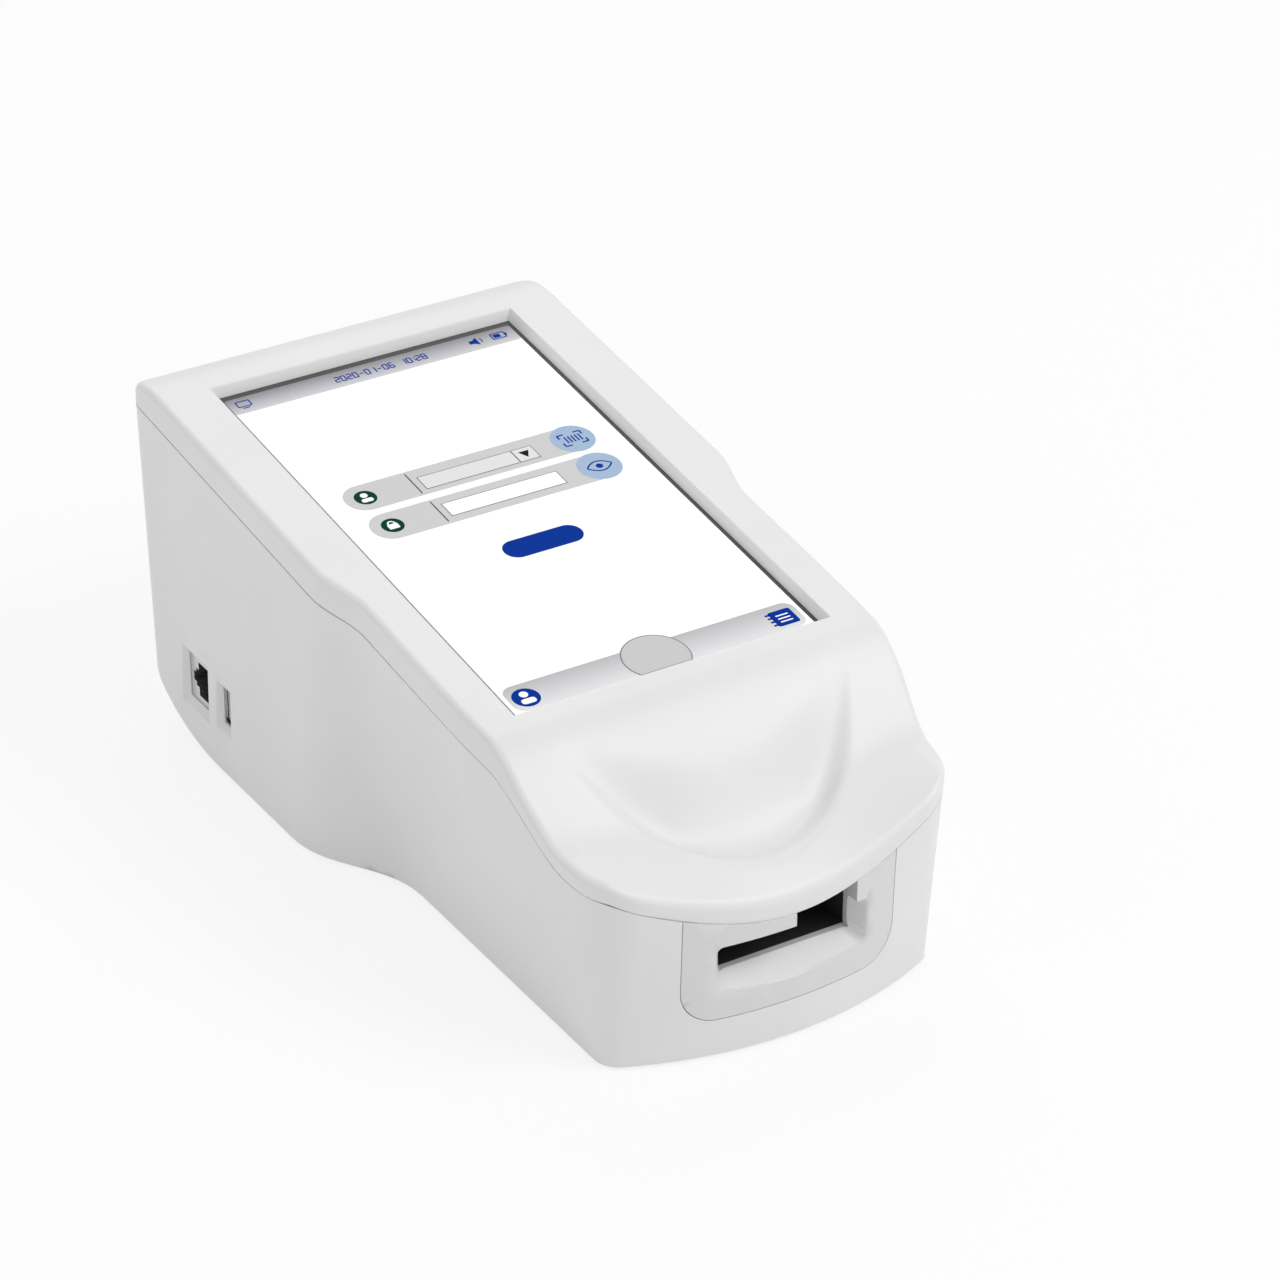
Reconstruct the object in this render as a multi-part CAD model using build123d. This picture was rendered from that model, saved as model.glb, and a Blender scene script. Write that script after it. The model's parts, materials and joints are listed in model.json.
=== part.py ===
from build123d import *
import os
from math import atan, cos, degrees, radians, sin, sqrt

# Portable blood chemistry analyzer for a veterinary bench.
# Millimetres. +X is the user's right, -Y the card slot in the nose, +Y the rear, +Z up.
# The origin is the middle of the footprint, on the bench.

# Driving dimensions of the housing
LENGTH = 271.0              # nose to rear
NOSE_REACH = 67.0           # nose to the lower edge of the picture
SCREEN_HEIGHT = 85.4        # bench to the lower edge of the picture
SCREEN_SLOPE = 0.1219       # rise of the screen towards the rear
FOOT_PROUD = 1.0            # how far the feet lift the housing
REAR_HALF_FOOT = 72.5       # half width of the rear part at the bench
REAR_HALF_SEAM = 70.0       # and at the seam
REAR_HALF_CROWN = 69.4
FRONT_HALF_FOOT = 55.0      # half width of the front part at the bench
FRONT_HALF_SEAM = 65.4
FRONT_HALF_CROWN = 64.8
REAR_LEAN = 11.0            # the rear wall's foot stands this far inside its top
REAR_CORNER = 12.0
NOSE_TAPER = 9.0            # degrees, inward lean of the nose sides in plan
NOSE_CORNER_FOOT = 8.0
NOSE_CORNER_SEAM = 20.0
NOSE_BOW_FOOT = 123.0       # radius of the nose front at the bench
NOSE_BOW_SEAM = 300.0
WALL = 2.6
FLOOR = 2.5
CROWN_REACH = 24.0          # the crown outline lies this far over the seam outline

# The waist, where the wide rear part draws in to the narrow front part
WAIST_REAR_FOOT = 97.0      # all measured from the lower edge of the picture towards the rear
WAIST_FRONT_FOOT = 48.0
WAIST_REAR_SEAM = 84.0
WAIST_FRONT_SEAM = 60.0
TAPER_START = -20.0

# The seam between cover and base, and the cover's face
SEAM_DROP = 6.5             # seam under the glass plane along the sides
SEAM_STEP = 15.0            # how far the seam drops on the way to the nose
SEAM_STEP_START = 9.0       # distances in front of the picture's lower edge
SEAM_STEP_END = 43.0
SEAM_GAP = 0.3
FACE_RISE = 3.5             # cover face over the glass plane
FACE_STEP = 18.5
FACE_STEP_START = 8.0
FACE_STEP_END = 43.0
NOSE_FALL = 14.8            # extra fall of the middle of the nose
NOSE_FALL_START = 25.0
NOSE_FALL_HALF = 55.0
BROW_RADIUS = 30.0          # rounding of the cover's rear edge
BROW_REACH = 22.0

# The thumb scoop in the nose
SCOOP_DEPTH = 6.0
SCOOP_HALF = 49.0
SCOOP_TOP = 29.0            # its upper edge at the middle, in front of the picture
SCOOP_TOP_SIDE = 12.0       # and at its two ends
SCOOP_TIP = 58.5            # its lower edge at the middle
SCOOP_TIP_SIDE = 19.0

# The heel, where the underside rises to the rear wall
HEEL_LENGTH = 52.0
HEEL_HEIGHT = 32.0
HEEL_REACH = 60.5           # from the heel's start to the rear end of the housing

# Screen
PICTURE_WIDTH = 99.6
PICTURE_LENGTH = 176.7
BORDER_SIDE = 1.4
BORDER_TOP = 2.2
BORDER_FRONT = 1.2
BEZEL_BEVEL = 1.2
GLASS_MARGIN = 4.5          # how far the glass reaches under the cover's face
GLASS_THICK = 1.1
GASKET_THICK = 1.0
PANEL_THICK = 4.0
FRAME_THICK = 1.2
DISPLAY_EAR = 8.0
DISPLAY_BOSS = 2.6

# Slot panel in the nose
PANEL_HALF = 35.2
PANEL_BOTTOM = 12.9
PANEL_CORNER = 11.0
PANEL_GAP = 0.25
SLOT_HALF = 21.5
SLOT_FLOOR = 25.6
SLOT_CEILING = 36.8
TALL_LEFT = 0.0             # the taller right part of the slot, for the thick end of a card
TALL_RIGHT = 21.0
FUNNEL_HALF = 27.0
FUNNEL_BOTTOM = 19.6
FUNNEL_DEPTH = 7.5
THROAT_WALL = 3.0
THROAT_DEPTH = 9.0

# Card bay and clamp
BAY_LENGTH = 45.0
BAY_CLEAR = 0.6
RAIL_WALL = 2.0
RAIL_HEIGHT = 12.5
GUIDE_FLOOR = 3.0
CLAMP_TRAVEL = 3.0
CLAMP_CLEAR = 0.6           # arm over the tallest card, before it comes down
ROD_RADIUS = 2.0
ROD_SPACING = 36.0
SCREW_RADIUS = 2.0
RUNNING_CLEAR = 0.05
MOTOR_SIDE = 20.0
MOTOR_HEIGHT = 16.0
FRAME_SHEET = 1.6
LEVER_X = 12.0
PIN_RADIUS = 0.9

# Ports in the left wall
PORT_HEIGHT = 23.2          # centre over the bench
ETHERNET_Y = 90.5
ETHERNET_WIDE = 16.0        # along Z, the jack stands upright
ETHERNET_HIGH = 13.6        # along Y
USB_Y = 71.9
USB_WIDE = 13.1
USB_HIGH = 5.7
SOCKET_SUNK = 2.6           # the sockets' faces lie this far inside the foot's half width
SOCKET_DEEP = 16.6
PORT_BEVEL = 1.6
PORT_CLEAR = 0.3

# Rear bay with the power inlet and the power button
REAR_BAY_HALF = 26.0
REAR_BAY_LOW = 42.0
REAR_BAY_HIGH = 62.0
REAR_BAY_DEPTH = 5.0
INLET_X = -12.0
BUTTON_X = 12.0
BUTTON_RADIUS = 5.5
BUTTON_TRAVEL = 1.5
BUTTON_PROUD = 1.6
BUTTON_CLEAR = 0.15

# Battery and its door
BATTERY_SIZE = (68.0, 88.0, 19.0)
BATTERY_Y = 19.0
BATTERY_CLEAR = 0.5
DOOR_SIDE = 3.0             # how far the door's rim reaches past the battery at its sides
DOOR_END = 11.0             # and at its ends, where its screws are
DOOR_GAP = 0.3
LEDGE_THICK = 1.8
DOOR_THICK = 2.2

# Boards and fasteners
BOARD_THICK = 1.6
MAIN_BOARD = (100.0, 104.0)
MAIN_BOARD_Y = 14.0
MAIN_BOARD_Z = 28.0
BOSS_RADIUS = 3.6
SCREW_HOLE = 1.7
PILOT_HOLE = 1.25
SCREW_SHANK = 1.2
HEAD_RADIUS = 2.7
HEAD_HEIGHT = 2.0
HEAD_BORE = 3.0
SEAT_THICK = 4.0            # what is left over a deep screw bore
ROOF_GRIP = 1.4             # the cover's bosses end this far under its outer face
SPEAKER_RADIUS = 12.0
SPEAKER_HEIGHT = 5.0
FOOT_RADIUS = 6.0
FOOT_SINK = 0.8

# Sizes that follow
NOSE_Y = -LENGTH / 2
REAR_Y = LENGTH / 2
SCREEN_Y = NOSE_Y + NOSE_REACH
HEEL_Y = REAR_Y - HEEL_REACH
TILT = degrees(atan(SCREEN_SLOPE))
SCREEN_PLANE = Plane(
    origin=(0, SCREEN_Y, SCREEN_HEIGHT),
    x_dir=(1, 0, 0),
    z_dir=(0, -sin(radians(TILT)), cos(radians(TILT))),
)
CENTRED = (Align.CENTER, Align.CENTER, Align.MIN)
FLOOR_TOP = FOOT_PROUD + FLOOR
BAY_FRONT = NOSE_Y + THROAT_DEPTH + 0.3
BAY_END = BAY_FRONT + BAY_LENGTH
SCREW_POSITIONS = [(60.0, REAR_Y - 24.5), (61.5, SCREEN_Y + 105.0), (43.0, NOSE_Y + 20.0)]


def glass_z(y):
    """Height of the glass plane."""
    return SCREEN_HEIGHT + SCREEN_SLOPE * (y - SCREEN_Y)


def ease(t):
    """Smooth step from 0 to 1."""
    t = min(max(t, 0.0), 1.0)
    return t * t * (3 - 2 * t)


def nose_fall(x, ahead):
    """Extra fall of the nose's middle; ahead is the distance in front of the picture."""
    reach = max(min(ahead, NOSE_REACH + 4) - NOSE_FALL_START, 0) / (NOSE_REACH - NOSE_FALL_START)
    return NOSE_FALL * reach ** 1.5 * max(1 - (x / NOSE_FALL_HALF) ** 2, 0)


def seam_z(x, y):
    """Height of the seam between cover and base."""
    ahead = SCREEN_Y - y
    step = ease((ahead - SEAM_STEP_START) / (SEAM_STEP_END - SEAM_STEP_START))
    return glass_z(y) - SEAM_DROP - SEAM_STEP * step - nose_fall(x, ahead)


def scoop(x, ahead):
    """Depth of the thumb scoop, a rounded dish between a shallow upper and a deep lower edge."""
    side = abs(x) / SCOOP_HALF
    if side >= 1:
        return 0.0
    top = SCOOP_TOP + (SCOOP_TOP_SIDE - SCOOP_TOP) * side ** 1.6
    tip = SCOOP_TIP + (SCOOP_TIP_SIDE - SCOOP_TIP) * side ** 2.2
    t = (ahead - top) / (tip - top)
    if t <= 0 or t >= 1:
        return 0.0
    dish = ease(t / 0.62) * ease((1 - t) / 0.38)
    return SCOOP_DEPTH * dish * ease((1 - side) / 0.55)


def face_z(x, y):
    """Height of the cover's outer face."""
    ahead = SCREEN_Y - y
    step = ease((ahead - FACE_STEP_START) / (FACE_STEP_END - FACE_STEP_START))
    brow = max(y - (REAR_Y - BROW_REACH), 0)
    drop = BROW_RADIUS - sqrt(BROW_RADIUS ** 2 - min(brow, BROW_REACH + 3) ** 2)
    return glass_z(y) + FACE_RISE - FACE_STEP * step - nose_fall(x, ahead) - scoop(x, ahead) - drop


def stations(low, high, pitch):
    """Evenly spaced values from low to high, about one pitch apart."""
    count = max(round((high - low) / pitch), 2)
    return [low + (high - low) * i / count for i in range(count + 1)]


def region_under(height, shift, pitch_x, pitch_y):
    """Solid below a height surface, used to cut the housing along it."""
    half = REAR_HALF_FOOT + 5
    rows = stations(NOSE_Y - 3, REAR_Y + 2.5, pitch_y)
    columns = stations(-half, half, pitch_x)
    skin = Face.make_surface_from_array_of_points(
        [[Vector(x, y, height(x, y) + shift) for x in columns] for y in rows], tol=0.01, min_deg=3)
    return extrude(skin, amount=150, dir=(0, 0, -1))


def outline(lift, half_rear, half_front, rear_y, rear_corner, waist_rear, waist_front,
            taper, corner, bow, front_y):
    """Plan outline on the plane z = lift(y): rear edge, waist, tapered nose sides, bowed front."""
    rise = lift(1) - lift(0)

    def at(x, y):
        return Vector(x, y, lift(y))

    along = (-sin(radians(taper)), -cos(radians(taper)))
    inward = (-cos(radians(taper)), sin(radians(taper)))
    start_y = SCREEN_Y + TAPER_START
    # the corner arc touches the tapered side and, from inside, the bowed front
    off_x = half_front + inward[0] * corner
    off_y = start_y + inward[1] * corner
    to_x, to_y = off_x, off_y - (front_y + bow)
    half_b = to_x * along[0] + to_y * along[1]
    run = -half_b + sqrt(half_b ** 2 - (to_x ** 2 + to_y ** 2 - (bow - corner) ** 2))
    mid = (off_x + along[0] * run, off_y + along[1] * run)
    side = (mid[0] - inward[0] * corner, mid[1] - inward[1] * corner)
    reach = sqrt(mid[0] ** 2 + (mid[1] - front_y - bow) ** 2)
    out = (mid[0] / reach, (mid[1] - front_y - bow) / reach)
    end = (out[0] * bow, front_y + bow + out[1] * bow)
    half_way = (out[0] - inward[0], out[1] - inward[1])
    size = sqrt(half_way[0] ** 2 + half_way[1] ** 2)
    knuckle = (mid[0] + half_way[0] / size * corner, mid[1] + half_way[1] / size * corner)
    cut = rear_corner * (1 - sqrt(0.5))
    rear_side = rear_y - rear_corner
    down = (0, -1, -rise)
    up = (0, 1, rise)
    lean_in = (along[0], along[1], rise * along[1])
    lean_out = (along[0], -along[1], -rise * along[1])
    return Face(Wire([
        Line(at(-half_rear + rear_corner, rear_y), at(half_rear - rear_corner, rear_y)),
        ThreePointArc(at(half_rear - rear_corner, rear_y), at(half_rear - cut, rear_y - cut),
                      at(half_rear, rear_side)),
        Line(at(half_rear, rear_side), at(half_rear, waist_rear)),
        Spline(at(half_rear, waist_rear), at(half_front, waist_front), tangents=[down, down]),
        Spline(at(half_front, waist_front), at(*side), tangents=[down, lean_in]),
        ThreePointArc(at(*side), at(*knuckle), at(*end)),
        ThreePointArc(at(*end), at(0, front_y), at(-end[0], end[1])),
        ThreePointArc(at(-end[0], end[1]), at(-knuckle[0], knuckle[1]), at(-side[0], side[1])),
        Spline(at(-side[0], side[1]), at(-half_front, waist_front), tangents=[lean_out, up]),
        Spline(at(-half_front, waist_front), at(-half_rear, waist_rear), tangents=[up, up]),
        Line(at(-half_rear, waist_rear), at(-half_rear, rear_side)),
        ThreePointArc(at(-half_rear, rear_side), at(-half_rear + cut, rear_y - cut),
                      at(-half_rear + rear_corner, rear_y)),
    ]))


def housing_form(inset):
    """The whole outer form, or the form that lies inset inside it, with nothing cut off above."""
    foot = outline(
        lambda y: FOOT_PROUD, REAR_HALF_FOOT - inset, FRONT_HALF_FOOT - inset,
        REAR_Y - REAR_LEAN - inset, REAR_CORNER - inset, SCREEN_Y + WAIST_REAR_FOOT,
        SCREEN_Y + WAIST_FRONT_FOOT, 0.0, NOSE_CORNER_FOOT - inset, NOSE_BOW_FOOT - inset, NOSE_Y + inset)
    seam = outline(
        lambda y: glass_z(y) - SEAM_DROP, REAR_HALF_SEAM - inset, FRONT_HALF_SEAM - inset,
        REAR_Y - inset, REAR_CORNER - inset, SCREEN_Y + WAIST_REAR_SEAM,
        SCREEN_Y + WAIST_FRONT_SEAM, NOSE_TAPER, NOSE_CORNER_SEAM - inset, NOSE_BOW_SEAM - inset,
        NOSE_Y + inset)
    crown = outline(
        lambda y: glass_z(y) - SEAM_DROP + CROWN_REACH, REAR_HALF_CROWN - inset,
        FRONT_HALF_CROWN - inset, REAR_Y - inset, REAR_CORNER - inset, SCREEN_Y + WAIST_REAR_SEAM,
        SCREEN_Y + WAIST_FRONT_SEAM, NOSE_TAPER, NOSE_CORNER_SEAM - inset, NOSE_BOW_SEAM - inset,
        NOSE_Y + 0.3 + inset)
    return loft([foot, seam], ruled=True) + loft([seam, crown], ruled=True)


def heel_region(inset):
    """Everything above the underside: flat at the front, rising in a quarter ellipse at the rear."""
    low = FOOT_PROUD + inset
    top = low + HEEL_HEIGHT
    heel = EllipticalCenterArc((HEEL_Y, top), HEEL_LENGTH - inset, HEEL_HEIGHT, start_angle=270, arc_size=90)
    far = REAR_Y + 20
    profile = Face(Wire([
        Line((NOSE_Y - 10, low), (HEEL_Y, low)),
        heel,
        Line((HEEL_Y + HEEL_LENGTH - inset, top), (far, top + 60)),
        Line((far, top + 60), (far, 200)),
        Line((far, 200), (NOSE_Y - 10, 200)),
        Line((NOSE_Y - 10, 200), (NOSE_Y - 10, low)),
    ]))
    return extrude(Plane.YZ * profile, amount=100, both=True)


def tube(x, y, low, high, radius):
    """Upright cylinder between two heights."""
    return Pos(x, y, low) * Cylinder(radius, high - low, align=CENTRED)


def block(x0, x1, y0, y1, z0, z1):
    """Box between two corners."""
    return Pos((x0 + x1) / 2, (y0 + y1) / 2, (z0 + z1) / 2) * Box(x1 - x0, y1 - y0, z1 - z0)


def on_screen(width, y0, y1, z0, z1):
    """Box in the screen's plane, y measured up the picture from its lower edge."""
    return SCREEN_PLANE * Pos(0, (y0 + y1) / 2, (z0 + z1) / 2) * Box(width, y1 - y0, z1 - z0)


def both_sides(positions):
    """The same places on the left and the right."""
    return [(side * x, y) for x, y in positions for side in (-1, 1)]


def boss_seat(y):
    """Height at which a base boss meets its cover boss."""
    return round(min(seam_z(45, y), glass_z(y) - SEAM_DROP) - 2, 1)


def top_cover(outer, inner, under_face, under_seam):
    """Moulded cover: sunk bezel, thumb scoop, bosses for the base screws and the display frame."""
    cover = (outer & under_face) - under_seam - (inner & (Pos(0, 0, -WALL) * under_face))
    bosses = []
    cuts = []
    for x, y in both_sides(SCREW_POSITIONS):
        seat = boss_seat(y)
        bosses.append(tube(x, y, seat, face_z(x, y) - ROOF_GRIP, BOSS_RADIUS))
        cuts.append(tube(x, y, seat - 1, min(seat + 9, face_z(x, y) - 3.5), PILOT_HOLE))
    depth = display_depth()
    for x, y in display_screw_places():
        at = SCREEN_PLANE * Pos(x, y, -depth)
        bosses.append(at * Cylinder(DISPLAY_BOSS, depth + 2.0, align=CENTRED))
        cuts.append(at * Pos(0, 0, -1) * Cylinder(PILOT_HOLE, 5, align=CENTRED))
    # flat seat for the gasket, then the bevelled opening over the picture
    cuts.append(on_screen(glass_width() + 0.6, -glass_low() - 0.3, glass_high() + 0.3, -1, GASKET_THICK))
    width = PICTURE_WIDTH + 2 * BORDER_SIDE
    length = PICTURE_LENGTH + BORDER_TOP + BORDER_FRONT
    rise = FACE_RISE + 2
    spread = 2 * BEZEL_BEVEL * rise / FACE_RISE
    middle = SCREEN_PLANE * Pos(0, (PICTURE_LENGTH + BORDER_TOP - BORDER_FRONT) / 2, 0)
    cuts.append(loft([
        middle * Rectangle(width, length),
        middle * Pos(0, 0, rise) * Rectangle(width + spread, length + spread)]))
    cuts.append(on_screen(width, -BORDER_FRONT, PICTURE_LENGTH + BORDER_TOP, -1, 0.1))
    return cover + bosses - cuts


def glass_width():
    return PICTURE_WIDTH + 2 * BORDER_SIDE + 2 * GLASS_MARGIN


def glass_low():
    """How far the glass reaches below the picture."""
    return BORDER_FRONT + GLASS_MARGIN


def glass_high():
    """How far the glass reaches up the picture's plane."""
    return PICTURE_LENGTH + BORDER_TOP + GLASS_MARGIN


def display_depth():
    """From the glass plane down to the face of the display frame's ears."""
    return GLASS_THICK + PANEL_THICK


def display_screw_places():
    """Centres of the display frame's screws, in the screen's plane."""
    x = glass_width() / 2 + DISPLAY_BOSS + 0.5
    rows = [PICTURE_LENGTH * 0.12, PICTURE_LENGTH * 0.88]
    return [(side * x, y) for side in (-1, 1) for y in rows]


def touch_glass():
    glass = on_screen(glass_width(), -glass_low(), glass_high(), -GLASS_THICK, 0)
    corners = [e for e in glass.edges() if abs(e.length - GLASS_THICK) < 0.01]
    return fillet(corners, 2.5)


def display_gasket():
    """Foam frame between the glass and the cover."""
    frame = on_screen(glass_width(), -glass_low(), glass_high(), 0, GASKET_THICK)
    hole = on_screen(PICTURE_WIDTH + 2 * BORDER_SIDE + 2, -BORDER_FRONT - 1,
                     PICTURE_LENGTH + BORDER_TOP + 1, -1, GASKET_THICK + 1)
    return frame - hole


def display_panel():
    return on_screen(glass_width() - 4, -glass_low() + 1.5, glass_high() - 1.5,
                     -display_depth(), -GLASS_THICK)


def display_frame():
    """Pressed sheet under the display, with lightening holes and four screwed ears."""
    top = -display_depth()
    frame = on_screen(glass_width() - 4, -glass_low() + 1.5, glass_high() - 1.5, top - FRAME_THICK, top)
    for y in (0.2, 0.5, 0.8):
        window = on_screen(glass_width() - 30, PICTURE_LENGTH * y - 20, PICTURE_LENGTH * y + 20,
                           top - FRAME_THICK - 1, top + 1)
        frame = frame - window
    for x, y in display_screw_places():
        inner_x = glass_width() / 2 - 6
        ear = SCREEN_PLANE * Pos((x + (inner_x if x > 0 else -inner_x)) / 2, y, top - FRAME_THICK / 2) * Box(
            abs(x) - inner_x + DISPLAY_BOSS * 2 - 1, DISPLAY_EAR, FRAME_THICK)
        hole = SCREEN_PLANE * Pos(x, y, top) * Cylinder(SCREW_HOLE, 6)
        frame = frame + ear - hole
    return frame


def screw(radius, shank, length):
    """Pan head screw with its head's underside at the origin and its shank along +Z."""
    head = Pos(0, 0, -HEAD_HEIGHT) * Cylinder(radius, HEAD_HEIGHT, align=CENTRED)
    cross = Box(radius * 1.2, 0.7, 1.6) + Box(0.7, radius * 1.2, 1.6)
    body = head + Cylinder(shank, length, align=CENTRED)
    return body - Pos(0, 0, -HEAD_HEIGHT) * cross


def display_screws():
    screws = [
        SCREEN_PLANE * Pos(x, y, -display_depth() - FRAME_THICK) * screw(2.4, SCREW_SHANK, 4.5)
        for x, y in display_screw_places()]
    return Compound(screws)


def base_shell(outer, inner, under_seam):
    """Moulded base: heel, port and slot windows, battery bay, screw posts, board and clamp posts."""
    base = (outer & heel_region(0) & (Pos(0, 0, -SEAM_GAP) * under_seam)) - (inner & heel_region(FLOOR))
    bay, recess, added = battery_bay()
    cuts = [recess, bay]
    skin = heel_region(1.0)
    for x, y in both_sides(SCREW_POSITIONS):
        seat = boss_seat(y)
        added.append(tube(x, y, 0, seat, BOSS_RADIUS + 0.9) & skin)
        cuts.append(tube(x, y, -1, seat - SEAT_THICK, HEAD_BORE))
        cuts.append(tube(x, y, -1, seat + 1, SCREW_HOLE))
    for x, y, top, radius in posts():
        added.append(tube(x, y, FOOT_PROUD + 1, top, radius))
        cuts.append(tube(x, y, top - 5, top + 1, PILOT_HOLE))
    for y, z in port_board_screw_places():
        at = Pos(port_board_x(), y, z) * Rot(0, -90, 0)
        added.append(at * Cylinder(3.0, SOCKET_DEEP, align=CENTRED))
        cuts.append(at * Cylinder(PILOT_HOLE, 6, align=CENTRED))
    for x, z in power_board_screw_places():
        at = Pos(x, power_board_y(), z) * Rot(-90, 0, 0)
        added.append(at * Cylinder(3.0, rear_face() - 1 - power_board_y(), align=CENTRED))
        cuts.append(at * Cylinder(PILOT_HOLE, 6, align=CENTRED))
    for x, y in door_screw_places():
        added.append(tube(x, y, FOOT_PROUD + DOOR_THICK, FOOT_PROUD + DOOR_THICK + 8, BOSS_RADIUS))
        cuts.append(tube(x, y, 0, FOOT_PROUD + DOOR_THICK + 6, PILOT_HOLE))
    for x, y in feet_places():
        cuts.append(tube(x, y, 0, FOOT_PROUD + FOOT_SINK, FOOT_RADIUS + 0.1))
    x, y = speaker_place()
    added.append(tube(x, y, FOOT_PROUD + 1, FLOOR_TOP + 3, SPEAKER_RADIUS + 1.4)
                 - tube(x, y, 0, FLOOR_TOP + 4, SPEAKER_RADIUS + 0.2))
    for ring, count in ((0, 1), (4.0, 6), (8.0, 12)):
        for i in range(count):
            cuts.append(Pos(x, y, 0) * Rot(0, 0, 360 * i / count) * tube(ring, 0, 0, FLOOR_TOP + 1, 0.9))
    cuts.append(port_window(ETHERNET_Y, ETHERNET_HIGH, ETHERNET_WIDE))
    cuts.append(port_window(USB_Y, USB_HIGH, USB_WIDE))
    added.append(rear_bay_block(WALL, rear_face() + 2.0))
    cuts.append(rear_bay_block(0, REAR_Y + 20))
    cuts.append(rear_holes())
    cuts.append(panel_prism(PANEL_GAP))
    return base + added - cuts


def battery_bay():
    """The bay's space, its door's recess, and the walls and ledge around both."""
    size_x, size_y, size_z = BATTERY_SIZE
    wall = 1.8
    low = FOOT_PROUD + DOOR_THICK
    ceiling = low + size_z + 1.2
    x = size_x / 2 + BATTERY_CLEAR
    y0 = BATTERY_Y - size_y / 2 - BATTERY_CLEAR
    y1 = BATTERY_Y + size_y / 2 + BATTERY_CLEAR
    side = DOOR_SIDE + DOOR_GAP
    end = DOOR_END + DOOR_GAP
    bay = block(-x, x, y0, y1, 0, ceiling)
    recess = block(-x - side, x + side, y0 - end, y1 + end, 0, low)
    box = block(-x - wall, x + wall, y0 - wall, y1 + wall, FOOT_PROUD + 1, ceiling + wall)
    ledge = block(-x - side - wall, x + side + wall, y0 - end - wall, y1 + end + wall,
                  FOOT_PROUD + 1, low + LEDGE_THICK)
    return bay, recess, [box, ledge]


def posts():
    """Upright posts of the base: x, y, height of their top, radius."""
    board = [(x, y, MAIN_BOARD_Z, 3.0) for x, y in board_screw_places()]
    clamp = [(x, y, clamp_base_z(), 3.0) for x, y in clamp_screw_places()]
    guide = [(x, y, SLOT_FLOOR - 0.2 - GUIDE_FLOOR, 3.0) for x, y in guide_screw_places()]
    return board + clamp + guide


def board_screw_places():
    half_x = MAIN_BOARD[0] / 2 - 5
    half_y = MAIN_BOARD[1] / 2 - 5
    return [(i * half_x, MAIN_BOARD_Y + j * half_y) for i in (-1, 1) for j in (-1, 1)]


def door_screw_places():
    reach = BATTERY_SIZE[1] / 2 + DOOR_END - 4.0
    return [(0, BATTERY_Y - reach), (0, BATTERY_Y + reach)]


def feet_places():
    return [(-46, NOSE_Y + 40), (46, NOSE_Y + 40), (-60, HEEL_Y - 6), (60, HEEL_Y - 6)]


def speaker_place():
    return (52.5, 20.0)


def clamp_base_z():
    """Top of the posts under the clamp frame, over the motor."""
    return FLOOR_TOP + MOTOR_HEIGHT + 1.0


def clamp_y():
    """Axis of the clamp's screw and rods, behind the card bay."""
    return BAY_END + 14.0


def clamp_screw_places():
    return [(i * 27.0, clamp_y() + j * 6.0) for i in (-1, 1) for j in (-1, 1)]


def guide_screw_places():
    x = SLOT_HALF + BAY_CLEAR + RAIL_WALL + 4
    return [(i * x, BAY_FRONT + j) for i in (-1, 1) for j in (8.0, BAY_LENGTH - 8.0)]


def port_window(y, wide_y, wide_z):
    """Hole for an upright socket, with the bevelled pocket around it."""
    hole = block(-100, -REAR_HALF_FOOT + 6, y - wide_y / 2 - PORT_CLEAR, y + wide_y / 2 + PORT_CLEAR,
                 PORT_HEIGHT - wide_z / 2 - PORT_CLEAR, PORT_HEIGHT + wide_z / 2 + PORT_CLEAR)
    plane = Plane(origin=(-REAR_HALF_FOOT + 2.4, y, PORT_HEIGHT), x_dir=(0, 1, 0), z_dir=(-1, 0, 0))
    grow = 2 * PORT_CLEAR
    bevel = loft([
        plane * Rectangle(wide_y + grow, wide_z + grow),
        plane.offset(3) * Rectangle(wide_y + grow + 3 * PORT_BEVEL, wide_z + grow + 3 * PORT_BEVEL),
    ])
    return hole + bevel


def port_board_x():
    """Face of the port board that the sockets stand on."""
    return -REAR_HALF_FOOT + SOCKET_SUNK + SOCKET_DEEP


def port_board_screw_places():
    return [(USB_Y - 8.0, PORT_HEIGHT + 14.5), (ETHERNET_Y + 11.0, PORT_HEIGHT + 14.5)]


def rear_face():
    """Y of the rear bay's floor."""
    return REAR_Y - REAR_LEAN * 0.5 - REAR_BAY_DEPTH


def power_board_y():
    return rear_face() - WALL - 11.0


def power_board_screw_places():
    return [(-REAR_BAY_HALF + 2.0, REAR_BAY_HIGH - 3.0), (REAR_BAY_HALF - 2.0, REAR_BAY_HIGH - 3.0)]


def rear_bay_block(grow, far):
    """Sunk bay in the rear wall, or the skin around it."""
    bay = block(-REAR_BAY_HALF - grow, REAR_BAY_HALF + grow, rear_face() - grow, far,
                REAR_BAY_LOW - grow, REAR_BAY_HIGH + grow)
    return fillet(bay.edges().filter_by(Axis.Y), 3.0 + grow)


def rear_holes():
    z = (REAR_BAY_LOW + REAR_BAY_HIGH) / 2
    inlet = Pos(INLET_X, rear_face() + 1, z) * Rot(90, 0, 0) * Cylinder(4.2, 12, align=CENTRED)
    button = Pos(BUTTON_X, rear_face() + 1, z) * Rot(90, 0, 0) * Cylinder(
        BUTTON_RADIUS + BUTTON_CLEAR, 6, align=CENTRED)
    return inlet + button


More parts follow.
